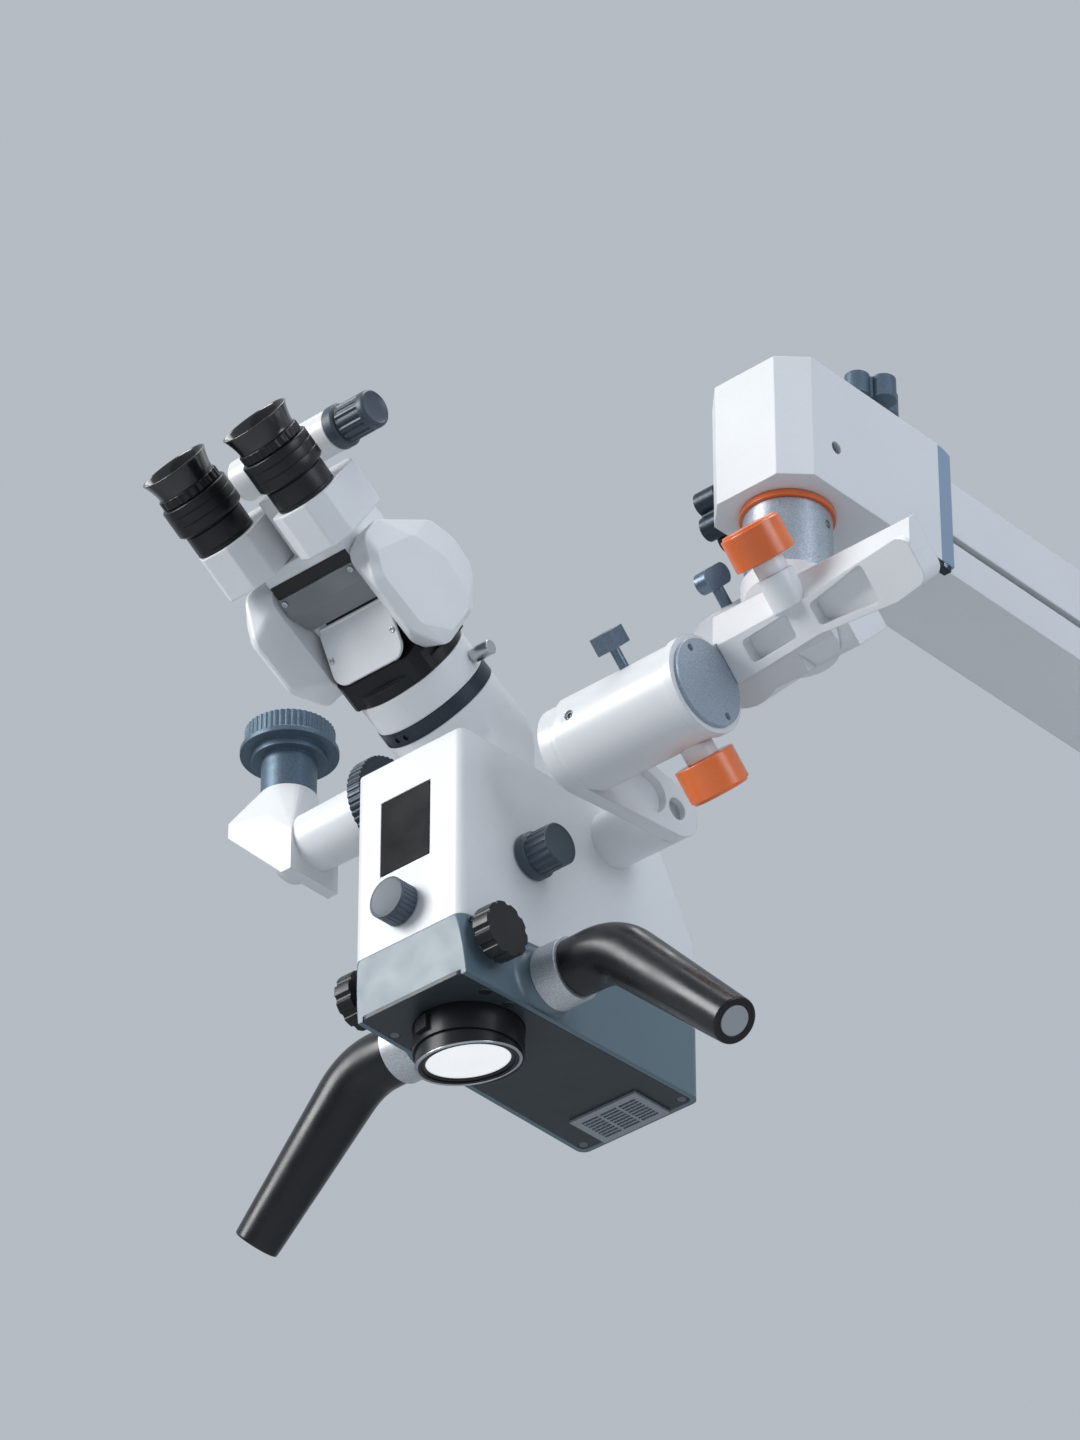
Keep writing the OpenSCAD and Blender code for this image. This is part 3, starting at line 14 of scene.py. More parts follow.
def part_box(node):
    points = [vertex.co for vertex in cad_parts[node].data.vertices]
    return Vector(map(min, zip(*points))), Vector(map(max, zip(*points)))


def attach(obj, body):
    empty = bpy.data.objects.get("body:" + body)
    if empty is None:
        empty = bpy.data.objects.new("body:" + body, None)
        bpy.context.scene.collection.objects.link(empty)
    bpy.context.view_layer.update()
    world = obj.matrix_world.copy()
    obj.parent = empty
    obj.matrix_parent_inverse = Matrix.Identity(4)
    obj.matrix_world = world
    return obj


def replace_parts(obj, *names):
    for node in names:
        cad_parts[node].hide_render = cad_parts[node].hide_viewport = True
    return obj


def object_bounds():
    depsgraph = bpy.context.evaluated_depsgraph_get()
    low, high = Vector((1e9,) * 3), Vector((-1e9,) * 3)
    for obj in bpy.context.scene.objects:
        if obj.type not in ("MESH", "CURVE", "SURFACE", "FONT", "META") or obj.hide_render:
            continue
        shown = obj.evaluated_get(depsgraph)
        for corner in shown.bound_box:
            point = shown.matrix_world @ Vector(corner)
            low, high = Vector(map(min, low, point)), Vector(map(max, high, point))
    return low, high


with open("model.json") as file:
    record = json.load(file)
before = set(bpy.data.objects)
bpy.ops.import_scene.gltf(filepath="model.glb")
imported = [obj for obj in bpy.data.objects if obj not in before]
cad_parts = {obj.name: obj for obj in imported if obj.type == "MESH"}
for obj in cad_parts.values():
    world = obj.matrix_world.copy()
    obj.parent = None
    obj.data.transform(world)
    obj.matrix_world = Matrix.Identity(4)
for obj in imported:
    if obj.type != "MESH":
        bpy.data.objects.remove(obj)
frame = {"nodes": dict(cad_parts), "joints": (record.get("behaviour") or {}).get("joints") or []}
cad_low, cad_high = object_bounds()

NODES = frame["nodes"]
JOINTS = {joint["name"]: joint for joint in frame["joints"]}
MM = 0.001
X, Z = (1, 0, 0), (0, 0, 1)

# Camera and setting
CAMERA_AT = Vector((1.9689, -2.9036, -2.2123))
CAMERA_RIGHT = Vector((0.738, 0.675, 0.0))
CAMERA_UP = Vector((0.378, -0.413, 0.8285))
FOCAL_MM, SENSOR_MM = 164.65, 36.0
FARTHEST = 60.0
BACKGROUND = (0.46, 0.50, 0.55)
FILL_COLOUR, FILL_STRENGTH = (0.86, 0.92, 1.0), 0.30
FLOOR_Z, FLOOR_HALF = -2.45, 30.0
FLOOR_DARK, FLOOR_LIGHT = (0.70, 0.72, 0.74), (0.74, 0.76, 0.78)
FLOOR_GLOW, GLOW_COLOUR = 0.26, (0.95, 0.98, 1.0)
# Name, place, side, power and colour of each lamp
LAMPS = (
    ("key_lamp", (-1.7, -3.2, 0.9), 1.6, 95, (1, 1, 1)),
    ("side_lamp", (3.0, -0.6, 0.5), 1.6, 34, (0.80, 0.88, 1.0)),
    ("top_lamp", (0.2, -0.6, 2.6), 1.8, 42, (1, 1, 1)),
)

# Colours, as the surface shows them in plain light
PLAIN = (1, 1, 1)
WHITE = (0.80, 0.82, 0.84)
BASE_GREY = (0.125, 0.185, 0.225)
PLATE_GREY = (0.030, 0.040, 0.048)
BLACK = (0.012, 0.012, 0.014)
LABEL_BLACK = (0.006, 0.006, 0.007)
BLUE_METAL = (0.105, 0.155, 0.205)
DARK_METAL = (0.030, 0.042, 0.058)
SILVER = (0.62, 0.64, 0.67)
STEEL = (0.22, 0.23, 0.25)
ORANGE = (0.84, 0.165, 0.035)
CAP_BLUE = (0.36, 0.43, 0.50)
COLLAR_BLUE = (0.26, 0.36, 0.48)
GRILLE = (0.30, 0.33, 0.36)
BRONZE = (0.42, 0.27, 0.10)
KNOB_GREY = (0.050, 0.070, 0.095)
SPINDLE_METAL = (0.50, 0.55, 0.61)
SCREW_BLUE = (0.15, 0.20, 0.26)
SATIN_METAL = (0.55, 0.58, 0.61)
DISC_GREY = (0.36, 0.38, 0.40)
SHEET_GREY = (0.20, 0.215, 0.23)
LIT_DARK, LIT_LIGHT = (0.80, 0.83, 0.86), (0.92, 0.94, 0.95)
LENS_DARK, LENS_LIGHT = (0.010, 0.018, 0.022), (0.020, 0.034, 0.040)


# Frames
def turned(axis):
    """Rotation whose z axis is the given direction, and whose x axis is as near the scene's as it can be."""
    z = Vector(axis).normalized()
    y = z.cross(Vector(X)).normalized()
    x = y.cross(z)
    return Matrix((x, y, z)).transposed().to_4x4()


def frame_at(point, axis):
    return Matrix.Translation(Vector(point)) @ turned(axis)


def joint_frame(name):
    return frame_at(JOINTS[name]["pos_m"], JOINTS[name]["axis"])


def upright_frame(name):
    """Frame at a joint whose axes are those of the scene."""
    return frame_at(JOINTS[name]["pos_m"], Z)


def body_origin():
    """Middle of the body, its front face and its underside, from the boxes of its castings."""
    base_low, base_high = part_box("body_base")
    housing_low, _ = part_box("body_housing")
    return Vector(((base_low.x + base_high.x) / 2, housing_low.y, base_low.z))


def shift(x, y, z):
    """Move by millimetres."""
    return Matrix.Translation(Vector((x, y, z)) * MM)


def at(base, x, y, z):
    """Frame moved by a local offset in millimetres."""
    return base @ shift(x, y, z)


def tilt(angle, axis):
    return Matrix.Rotation(math.radians(angle), 4, axis)


def mirror(side):
    """Leaves the right side as it is and turns it over for the left side, -1."""
    return Matrix.Diagonal((side, 1, 1, 1))


BODY = Matrix.Translation(body_origin())
FACE_FRONT = tilt(90, "X")
FACE_DOWN = tilt(180, "X")
FACE_RIGHT = tilt(90, "Y")
FACE_LEFT = tilt(-90, "Y")
SIDES = ((1, "right"), (-1, "left"))


# Materials
class Graph:
    """A material under construction: its nodes, its shader and shared coordinates."""

    def __init__(self, name):
        self.material = bpy.data.materials.new(name)
        self.material.use_nodes = True
        self.tree = self.material.node_tree
        self.tree.nodes.clear()
        self.shader = self.add("ShaderNodeBsdfPrincipled")
        self.output = self.add("ShaderNodeOutputMaterial")
        self.link(self.shader.outputs["BSDF"], self.output.inputs["Surface"])
        self.place = self.add("ShaderNodeTexCoord").outputs["Object"]
        self.edge = None

    def add(self, kind, **settings):
        node = self.tree.nodes.new(kind)
        for key, value in settings.items():
            setattr(node, key, value)
        return node

    def link(self, source, target):
        self.tree.links.new(source, target)

    def soft_edges(self, radius_mm, samples=4):
        """Shades the sharp edges as if they had a small round."""
        node = self.add("ShaderNodeBevel", samples=samples)
        node.inputs["Radius"].default_value = radius_mm * MM
        self.edge = node.outputs["Normal"]

    def noise(self, scale, detail=3.0, roughness=0.5):
        node = self.add("ShaderNodeTexNoise")
        node.inputs["Scale"].default_value = scale
        node.inputs["Detail"].default_value = detail
        node.inputs["Roughness"].default_value = roughness
        self.link(self.place, node.inputs["Vector"])
        return node.outputs["Fac"]

    def lines(self, axis, scale, detail=2.0):
        """Turning marks: a value that changes only along an axis."""
        dot = self.add("ShaderNodeVectorMath", operation="DOT_PRODUCT")
        self.link(self.place, dot.inputs[0])
        dot.inputs[1].default_value = axis
        node = self.add("ShaderNodeTexNoise", noise_dimensions="1D")
        node.inputs["Scale"].default_value = scale
        node.inputs["Detail"].default_value = detail
        self.link(dot.outputs["Value"], node.inputs["W"])
        return node.outputs["Fac"]

    def ranged(self, source, low=0.0, high=1.0, start=0.3, end=0.7):
        """The value carried from the range of its start and end to that of low and high."""
        node = self.add("ShaderNodeMapRange")
        for key, value in (("From Min", start), ("From Max", end), ("To Min", low), ("To Max", high)):
            node.inputs[key].default_value = value
        self.link(source, node.inputs["Value"])
        return node.outputs["Result"]

    def patches(self, scale, detail=3.0):
        """Soft patches of a value between 0 and 1."""
        return self.ranged(self.noise(scale, detail))

    def gloss(self, rough, less, more, scale, detail=3.0, spread=0.5):
        """Roughness that wanders a little less and more than its middle value."""
        return self.ranged(self.noise(scale, detail, spread), rough - less, rough + more)

    def shade(self, source, colour_a, colour_b):
        """Colour that runs from one to the other with a value."""
        node = self.add("ShaderNodeMix", data_type="RGBA")
        node.inputs["A"].default_value = (*colour_a, 1)
        node.inputs["B"].default_value = (*colour_b, 1)
        self.link(source, node.inputs["Factor"])
        return node.outputs["Result"]

    def times(self, result_a, result_b):
        """Product of two colours."""
        node = self.add("ShaderNodeMix", data_type="RGBA", blend_type="MULTIPLY")
        node.inputs["Factor"].default_value = 1.0
        self.link(result_a, node.inputs["A"])
        self.link(result_b, node.inputs["B"])
        return node.outputs["Result"]

    def bump(self, height, strength, depth_mm, under=None):
        node = self.add("ShaderNodeBump")
        node.inputs["Strength"].default_value = strength
        node.inputs["Distance"].default_value = depth_mm * MM
        self.link(height, node.inputs["Height"])
        if under or self.edge:
            self.link(under or self.edge, node.inputs["Normal"])
        return node.outputs["Normal"]

    def finish(self, colour, roughness, normal=None, **values):
        for name, source in (("Base Color", colour), ("Roughness", roughness), ("Normal", normal)):
            if source:
                self.link(source, self.shader.inputs[name])
        for name, value in values.items():
            self.shader.inputs[name.replace("_", " ")].default_value = value
        return self.material


def scaled(colour, factor):
    return tuple(min(channel * factor, 1.0) for channel in colour)


def painted(name, colour, rough=0.34, spread=0.05, edge_mm=0.5, shine=0.45):
    """Powder coat: faint orange peel, slow change of tone and a little dust in the gloss."""
    g = Graph(name)
    g.soft_edges(edge_mm)
    dark, light = scaled(colour, 1 - spread), scaled(colour, 1 + spread / 2)
    tone = g.shade(g.patches(scale=7.0, detail=4.0), dark, light)
    dust = g.ranged(g.noise(scale=900.0, detail=2.0), start=0.25, end=0.4)
    specks = g.shade(dust, scaled(PLAIN, 0.93), PLAIN)
    peel = g.bump(g.noise(scale=620.0, detail=2.0), strength=0.10, depth_mm=0.05)
    wave = g.bump(g.noise(scale=95.0, detail=2.0), strength=0.05, depth_mm=0.12, under=peel)
    gloss = g.gloss(rough, less=0.05, more=0.07, scale=60.0, detail=4.0)
    return g.finish(g.times(tone, specks), gloss, wave,
                    Coat_Weight=0.12, Coat_Roughness=0.25, Specular_IOR_Level=shine)


def moulded(name, colour, rough, grain, depth_mm, strength, coat=0.0, shine=0.5):
    """Moulded plastic or rubber: fine grain, handling marks in the gloss."""
    g = Graph(name)
    tone = g.shade(g.patches(scale=14.0, detail=5.0), scaled(colour, 0.78), scaled(colour, 1.28))
    dimples = g.bump(g.noise(grain, detail=2.0), strength, depth_mm)
    rubbed = g.gloss(rough, less=0.09, more=0.10, scale=38.0, detail=5.0, spread=0.6)
    return g.finish(tone, rubbed, dimples, Coat_Weight=coat, Coat_Roughness=0.2, Specular_IOR_Level=shine)


def metal(name, colour, axis, rough):
    """Turned or brushed metal: fine marks square to an axis, with slow stains."""
    g = Graph(name)
    marks = g.lines(axis, scale=2600.0)
    tone = g.shade(g.patches(scale=22.0, detail=4.0), scaled(colour, 0.86), scaled(colour, 1.08))
    lined = g.shade(g.ranged(marks), scaled(PLAIN, 0.88), PLAIN)
    gloss = g.gloss(rough, less=0.05, more=0.08, scale=45.0, detail=4.0)
    return g.finish(g.times(tone, lined), gloss, g.bump(marks, strength=0.12, depth_mm=0.03), Metallic=1.0)


def anodised(name, colour, rough=0.42, metallic=0.55):
    """Blasted and anodised aluminium: sparkling fine grain."""
    g = Graph(name)
    grain = g.noise(scale=1500.0, detail=2.0)
    tone = g.shade(g.ranged(grain), scaled(colour, 0.72), scaled(colour, 1.30))
    slow = g.shade(g.patches(scale=20.0), scaled(PLAIN, 0.9), PLAIN)
    gloss = g.gloss(rough, less=0.06, more=0.06, scale=300.0, detail=2.0)
    bumps = g.bump(grain, strength=0.18, depth_mm=0.04)
    return g.finish(g.times(tone, slow), gloss, bumps, Metallic=metallic)


def lit_glass(name):
    """Coated front glass with the soft white of the lamp behind it."""
    g = Graph(name)
    tone = g.shade(g.patches(scale=40.0), LIT_DARK, LIT_LIGHT)
    gloss = g.gloss(0.08, less=0.03, more=0.03, scale=120.0)
    return g.finish(tone, gloss, Coat_Weight=0.6, Coat_Roughness=0.05,
                    Emission_Color=(*PLAIN, 1), Emission_Strength=0.55)


def lens_glass(name):
    """Dark lens with a faint green coating."""
    g = Graph(name)
    tone = g.shade(g.patches(scale=30.0), LENS_DARK, LENS_LIGHT)
    gloss = g.gloss(0.04, less=0.02, more=0.02, scale=90.0)
    return g.finish(tone, gloss, Coat_Weight=1.0, Coat_Roughness=0.03, Specular_IOR_Level=0.8)


TUBE_AXIS = tuple(JOINTS["binocular_turn"]["axis"])
LOOK = {
    "white": painted("white_paint", WHITE, edge_mm=1.0),
    "base": painted("base_paint", BASE_GREY, rough=0.36, spread=0.04, edge_mm=1.0),
    "plate": painted("plate_paint", PLATE_GREY, rough=0.42, spread=0.08),
    "collar": painted("collar_paint", COLLAR_BLUE, rough=0.38, spread=0.06),
    "grille": painted("grille_paint", GRILLE, rough=0.45, spread=0.10),
    "disc": painted("disc_paint", DISC_GREY, rough=0.4),
    "sheet": painted("sheet_paint", SHEET_GREY, rough=0.36, spread=0.06),
    "black_metal": painted("black_paint", BLACK, spread=0.2, shine=0.22),
    "grip": moulded("grip_rubber", BLACK, 0.30, grain=1250.0, depth_mm=0.05, strength=0.28, shine=0.4),
    "rubber": moulded("eyecup_rubber", BLACK, 0.46, grain=900.0, depth_mm=0.07, strength=0.35),
    "black": moulded("black_plastic", BLACK, 0.34, grain=1400.0, depth_mm=0.04, strength=0.25, shine=0.35),
    "label": moulded("label_film", LABEL_BLACK, 0.55, grain=2000.0, depth_mm=0.02, strength=0.15, shine=0.12),
    "polished": moulded("polished_black", BLACK, 0.16, grain=700.0, depth_mm=0.02, strength=0.12, coat=0.5),
    "knob": moulded("knob_plastic", KNOB_GREY, 0.38, grain=1000.0, depth_mm=0.06, strength=0.3),
    "orange": moulded("orange_plastic", ORANGE, 0.30, grain=800.0, depth_mm=0.03, strength=0.15, coat=0.3),
    "blue": anodised("blue_anodised", BLUE_METAL),
    "cap": anodised("cap_anodised", CAP_BLUE, rough=0.46, metallic=0.35),
    "dark": anodised("dark_anodised", DARK_METAL, rough=0.36),
    "spindle": anodised("spindle_metal", SPINDLE_METAL, rough=0.34, metallic=0.75),
    "satin": anodised("satin_metal", SATIN_METAL, rough=0.40, metallic=0.45),
    "screw_blue": anodised("screw_anodised", SCREW_BLUE, rough=0.34, metallic=0.6),
    "silver_x": metal("silver_turned_x", SILVER, X, rough=0.27),
    "silver_z": metal("silver_turned_z", SILVER, Z, rough=0.27),
    "silver_tube": metal("silver_turned_tube", SILVER, TUBE_AXIS, rough=0.27),
    "steel": metal("steel_brushed", STEEL, Z, rough=0.33),
    "bronze": metal("bronze_turned", BRONZE, Z, rough=0.35),
    "window": lit_glass("window_glass"),
    "lens": lens_glass("lens_glass"),
}

# Look of each solid, and the round of its edges in millimetres
DRESS = {
    "white": {"arm_base": 0.8, "arm_lower_shell": 0.8, "arm_upper_shell": 0.8, "head_block": 1.2,
              "yoke_casting": 1.2, "roll_beam": 1.0, "tilt_drum": 0.8, "link_arm": 1.0, "body_housing": 1.0,
              "tube_neck": 0.6, "port_elbow": 0.8, "tube_collar": 0.4, "hinge_covers": 0.8,
              "hinge_front_plate": 0.4, "tilt_carriage": 0.8, "prism_box_right": 0.8, "prism_box_left": 0.8},
    "base": {"body_base": 1.0},
    "plate": {"base_plate": 0.3},
    "grille": {"vent_grille": 0.25},
    "silver_x": {"base_pivot_pins": 0.3, "head_pivot_pins": 0.3, "link_pin": 0.4},
    "satin": {"handle_collars": 0.6},
    "silver_z": {"lens_cell": 0.3, "mag_drum": 0.3},
    "spindle": {"spindle": 0.8},
    "screw_blue": {"roll_wing_screw": 1.0, "tilt_lock_screw": 0.8},
    "silver_tube": {"tube_clamp_screw": 0.6},
    "steel": {"lamp_module": 0.3, "body_screws": 0.2},
    "sheet": {"hinge_step_plate": 0.25},
    "black_metal": {"arm_spring": 0.4, "hinge_housing": 0.6, "objective_barrel": 0.5, "objective_hood": 0.6},
    "bronze": {"head_bearing": 0.3},
    "blue": {"head_top_knob": 1.0, "photo_tube": 0.5, "camera_ring": 0.3},
    "cap": {"drum_cap": 0.8},
    "collar": {"head_end_collar": 0.8},
    "dark": {"head_side_knob": 1.0, "neck_clamp_ring": 0.4, "port_lock_ring": 0.3},
    "orange": {"spindle_ring": 0.5, "roll_brake_knob": 1.0, "tilt_brake_knob": 1.0},
    "knob": {"dimmer_knob": 0.4, "mag_knob": 0.4, "ipd_knob": 0.4},
    "black": {"focus_knobs": 0.5, "eyepiece_right": 0.4, "eyepiece_left": 0.4},
    "rubber": {"eyecup_right": 0.3, "eyecup_left": 0.3},
    "window": {"front_window": 0.3},
}
WELD_MM, SPIKE_MM = 0.002, 0.5
FLAT_DEGREES, CREASE_DEGREES = 0.3, 28.0
ROUND_STEPS, EVEN_WEIGHT = 3, 80
# Solids whose flat faces stay as they come, because a merged face there would cross its own hole
UNMERGED = ("link_arm", "vent_grille")


def even_shading(thing, keep_sharp=False):
    """Lets the large faces of an object set its shading."""
    even = thing.modifiers.new("even", "WEIGHTED_NORMAL")
    even.keep_sharp = keep_sharp
    even.weight = EVEN_WEIGHT


def soften(solid, width_mm):
    """Rounds the sharp edges of a CAD solid with modifiers, and evens its shading."""
    weld = solid.modifiers.new("weld", "WELD")
    weld.merge_threshold = WELD_MM * MM
    if solid.name not in UNMERGED:
        flat = solid.modifiers.new("flat", "DECIMATE")
        flat.decimate_type = "DISSOLVE"
        flat.angle_limit = math.radians(FLAT_DEGREES)
    bevel = solid.modifiers.new("round", "BEVEL")
    bevel.width = width_mm * MM
    bevel.segments = ROUND_STEPS
    bevel.limit_method = "ANGLE"
    bevel.angle_limit = math.radians(CREASE_DEGREES)
    bevel.use_clamp_overlap = True
    even_shading(solid, keep_sharp=True)


def ends(mesh):
    """Lowest and highest corner of a mesh in its own axes."""
    sides = list(zip(*(vertex.co for vertex in mesh.vertices)))
    return [min(side) for side in sides], [max(side) for side in sides]


def take_off_spikes(solids):
    """Takes the edge round off a solid where it pushes a corner out of the solid's own box."""
    graph = bpy.context.evaluated_depsgraph_get()
    allowed = SPIKE_MM * MM
    for solid in solids:
        low, high = ends(solid.data)
        new_low, new_high = ends(solid.evaluated_get(graph).data)
        if any(low[k] - new_low[k] > allowed or new_high[k] - high[k] > allowed for k in range(3)):
            solid.modifiers.remove(solid.modifiers["round"])


for look, solids in DRESS.items():
    for name, width in solids.items():
        solid = NODES[name]
        solid.data.materials.clear()
        solid.data.materials.append(LOOK[look])
        soften(solid, width)
take_off_spikes([NODES[name] for solids in DRESS.values() for name in solids])

# Mesh building
TIP_R = 0.01
SEAM_GAP = 0.0005
EDGE_SHARE, SOCKET_SHARE, MOUTH_SHARE, SOCKET_FLOOR_SHARE = 0.12, 0.53, 0.56, 0.35
RIB_SHARE, RIB_SLOPE = 0.55, 6


def add_piece(name, bm, place, look, body):
    """Turns a bmesh in local millimetres into a piece at a frame, riding on a body."""
    bmesh.ops.recalc_face_normals(bm, faces=bm.faces)
    if place.determinant() < 0:
        bmesh.ops.reverse_faces(bm, faces=bm.faces)
    mesh = bpy.data.meshes.new(name)
    bm.to_mesh(mesh)
    bm.free()
    mesh.transform(place @ Matrix.Scale(MM, 4))
    mesh.shade_smooth()
    piece = bpy.data.objects.new(name, mesh)
    bpy.context.scene.collection.objects.link(piece)
    piece.data.materials.append(LOOK[look])
    even_shading(piece)
    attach(piece, body)
    return piece


def loft(bm, rings, closed_ends=True):
    """Joins rings of equally many points into one skin."""
    made = [[bm.verts.new(point) for point in ring] for ring in rings]
    count = len(made[0])
    for low, high in zip(made, made[1:]):
        for i in range(count):
            j = (i + 1) % count
            bm.faces.new((low[i], low[j], high[j], high[i]))
    if closed_ends:
        bm.faces.new(list(reversed(made[0])))
        bm.faces.new(made[-1])


def loop_loft(bm, rings):
    """Joins rings into one skin that runs from the last ring back to the first."""
    loft(bm, rings + [rings[0]], closed_ends=False)
    bmesh.ops.remove_doubles(bm, verts=bm.verts, dist=SEAM_GAP)


def angles_round(count):
    return [math.tau * i / count for i in range(count)]


def circle(radius, height, count=48):
    return [(radius * math.cos(angle), radius * math.sin(angle), height) for angle in angles_round(count)]


def polygon_ring(radius, height, sides, count=48):
    """Points along a regular polygon, as many as a circle's."""
    points = []
    step = math.tau / sides
    for angle in angles_round(count):
        local = (angle % step) - step / 2
        reach = radius * math.cos(step / 2) / math.cos(local)
        points.append((reach * math.cos(angle), reach * math.sin(angle), height))
    return points


def turned_piece(name, outline, place, look, body, count=64):
    """Solid of revolution round the local z axis from (radius, height) points."""
    bm = bmesh.new()
    loft(bm, [circle(max(radius, TIP_R), height, count) for radius, height in outline])
    return add_piece(name, bm, place, look, body)


def turned_ring(name, outline, place, look, body, count=96):
    """Ring of revolution round the local z axis, closed from its last point back to its first."""
    bm = bmesh.new()
    loop_loft(bm, [circle(radius, height, count) for radius, height in outline])
    return add_piece(name, bm, place, look, body)


def socket_screws(name, places, radius, height, body, look="steel"):
    """Cap screws with a hexagon socket, standing on the local z axis of each place."""
    bm = bmesh.new()
    edge = radius * EDGE_SHARE
    for place in places:
        part = bmesh.new()
        loft(part, [circle(radius, 0), circle(radius, height - edge), circle(radius - edge, height),
                    polygon_ring(radius * MOUTH_SHARE, height, 6),
                    polygon_ring(radius * SOCKET_SHARE, height - edge, 6),
                    polygon_ring(radius * SOCKET_SHARE, height * SOCKET_FLOOR_SHARE, 6)])
        part.transform(Matrix.Scale(1 / MM, 4) @ place @ Matrix.Scale(MM, 4))
        scratch = bpy.data.meshes.new("scratch")
        part.to_mesh(scratch)
        part.free()
        bm.from_mesh(scratch)
        bpy.data.meshes.remove(scratch)
    return add_piece(name, bm, Matrix.Identity(4), look, body)


def plate_outline(width, height, corner, inset, z, corner_steps=6):
    """Rectangle with round corners, made smaller all round by an inset."""
    points = []
    for side_x, side_y, start in ((1, 1, 0), (-1, 1, 90), (-1, -1, 180), (1, -1, 270)):
        for k in range(corner_steps + 1):
            angle = math.radians(start + 90 * k / corner_steps)
            points.append((side_x * (width / 2 - corner) + (corner - inset) * math.cos(angle),
                           side_y * (height / 2 - corner) + (corner - inset) * math.sin(angle), z))
    return points


def plate(name, width, height, thick, corner, place, look, body, edge=0.25):
    """Flat plate with round corners and a broken upper edge, centred on the local x and y axes."""
    bm = bmesh.new()
    loft(bm, [plate_outline(width, height, corner, inset, z)
              for inset, z in ((0, 0), (0, thick - edge), (edge, thick))])
    return add_piece(name, bm, place, look, body)


def ribbed_ring(radius, height, ribs, depth, steps):
    """Ring with straight ribs: full radius over a share of each pitch, less by the depth between them."""
    points = []
    for i, angle in enumerate(angles_round(ribs * steps)):
        part = (i % steps) / steps
        away = min(part, 1 - part) * 2
        ramp = min(max((away - RIB_SHARE) * RIB_SLOPE + 0.5, 0.0), 1.0)
        reach = radius - depth * ramp
        points.append((reach * math.cos(angle), reach * math.sin(angle), height))
    return points


def ribbed_piece(name, outline, ribs, depth, place, look, body, steps=8):
    """Turned piece where the outline points marked True carry ribs."""
    bm = bmesh.new()
    loft(bm, [ribbed_ring(max(radius, TIP_R), height, ribs, depth if is_ribbed else 0.0, steps)
              for radius, height, is_ribbed in outline])
    return add_piece(name, bm, place, look, body)


def plain(points):
    """Outline points of a ribbed piece that carry no ribs."""
    return [(radius, height, False) for radius, height in points]


def ribbed(points):
    """Outline points of a ribbed piece that carry ribs."""
    return [(radius, height, True) for radius, height in points]


def knob_outline(radius, height, foot=0.8, toe=0.6, step=0.15, rim=1.2, edge=0.5, lip=1.4, dish=0.4):
    """Ribbed knob: plain foot, ribs, plain rim with a broken edge and a shallow dish in its face."""
    return (plain([(radius - toe, 0), (radius, foot * toe), (radius, foot)])
            + ribbed([(radius, foot + step), (radius, height - rim - step)])
            + plain([(radius, height - rim), (radius, height - edge), (radius - edge, height),
                     (radius - lip, height), (radius - lip - dish, height - dish), (0, height - dish)]))


# Frames of the microscope's optics and of the binocular, as the joints give them. In the names of places
# P is along the y axis of EYES, square to the plane of the eyepieces, and E is along its z axis, like them.
OPTIC_Y, BEND_Z = 52.4, 192.8
OPTIC = at(BODY, 0, OPTIC_Y, 0)
TUBE = at(BODY, 0, OPTIC_Y, BEND_Z) @ turned(TUBE_AXIS)
EYES = frame_at(JOINTS["binocular_tilt"]["pos_m"], JOINTS["diopter_right_turn"]["axis"])

# Eyepieces: their place on the carriage, the barrel from its seat to its neck, and its seams
PUPIL_HALF, EYE_P, EYE_E = 32.5, -25.8, 74.0
BOX_FRONT = 2.0
SEAT_R, SEAT_L = 14.9, 12.9
LOW_R, LOW_L, LOW_EDGE = 18.8, 14.0, 0.6
GROOVE, GROOVE_EDGE = 1.2, 0.4
HIGH_R, HIGH_L, HIGH_EDGE = 21.5, 19.0, 0.9
CONE_IN, CONE_L = 1.5, 1.6
NECK_R, NECK_L, NECK_EDGE = 13.5, 13.0, 0.4
EYE_BORE, EYE_BORE_DRAFT, EYE_BORE_FLOOR = 11.1, 0.1, 4
SEAM_W, SEAM_DEPTH = 0.45, 0.5
LOW_SEAM_AT, HIGH_SEAM_SHARES = 2.4, (0.38, 0.70)
RING_GAP, RING_L = 0.3, 6.0
LOW_TOP = BOX_FRONT + LOW_L
HIGH_LOW = LOW_TOP + GROOVE
HIGH_TOP = HIGH_LOW + HIGH_L
RING_LOW = HIGH_TOP + RING_GAP
RING_TOP = RING_LOW + RING_L

# Diopter ring from its foot: radius, height and where the ribs are
RING_RIBS, RING_RIB_DEPTH = 22, 0.8
RING_OUTLINE = (plain([(17.2, 0), (18.9, 0), (19.3, 0.4)]) + ribbed([(19.6, 0.7), (19.6, RING_L - 0.9)])
                + plain([(19.2, RING_L - 0.4), (18.7, RING_L), (16.0, RING_L)]))
# Eyecup from the top of the ring: up its flared outside, over its rim and down its inside
CUP_OUTSIDE = [(15.6, -0.6), (18.1, -0.2), (18.6, 0.3), (18.4, 1.0), (18.5, 2.4), (18.8, 4.2), (19.4, 6.6),
               (20.2, 9.2)]
CUP_RIM = [(21.1, 11.7), (21.5, 12.3), (21.6, 12.65), (21.4, 13.0), (20.9, 13.0), (20.3, 12.3)]
CUP_INSIDE = [(19.2, 10.0), (18.1, 7.0), (17.0, 4.0), (15.4, 1.4), (14.6, 0.6), (13.7, 0.4), (12.6, 0.4)]
# Domed lens in the eyecup, from the top of the ring
OCULAR = [(12.7, -0.6), (12.7, 0.2), (12.0, 0.45), (9.0, 1.2), (5.0, 1.75), (0, 1.95)]


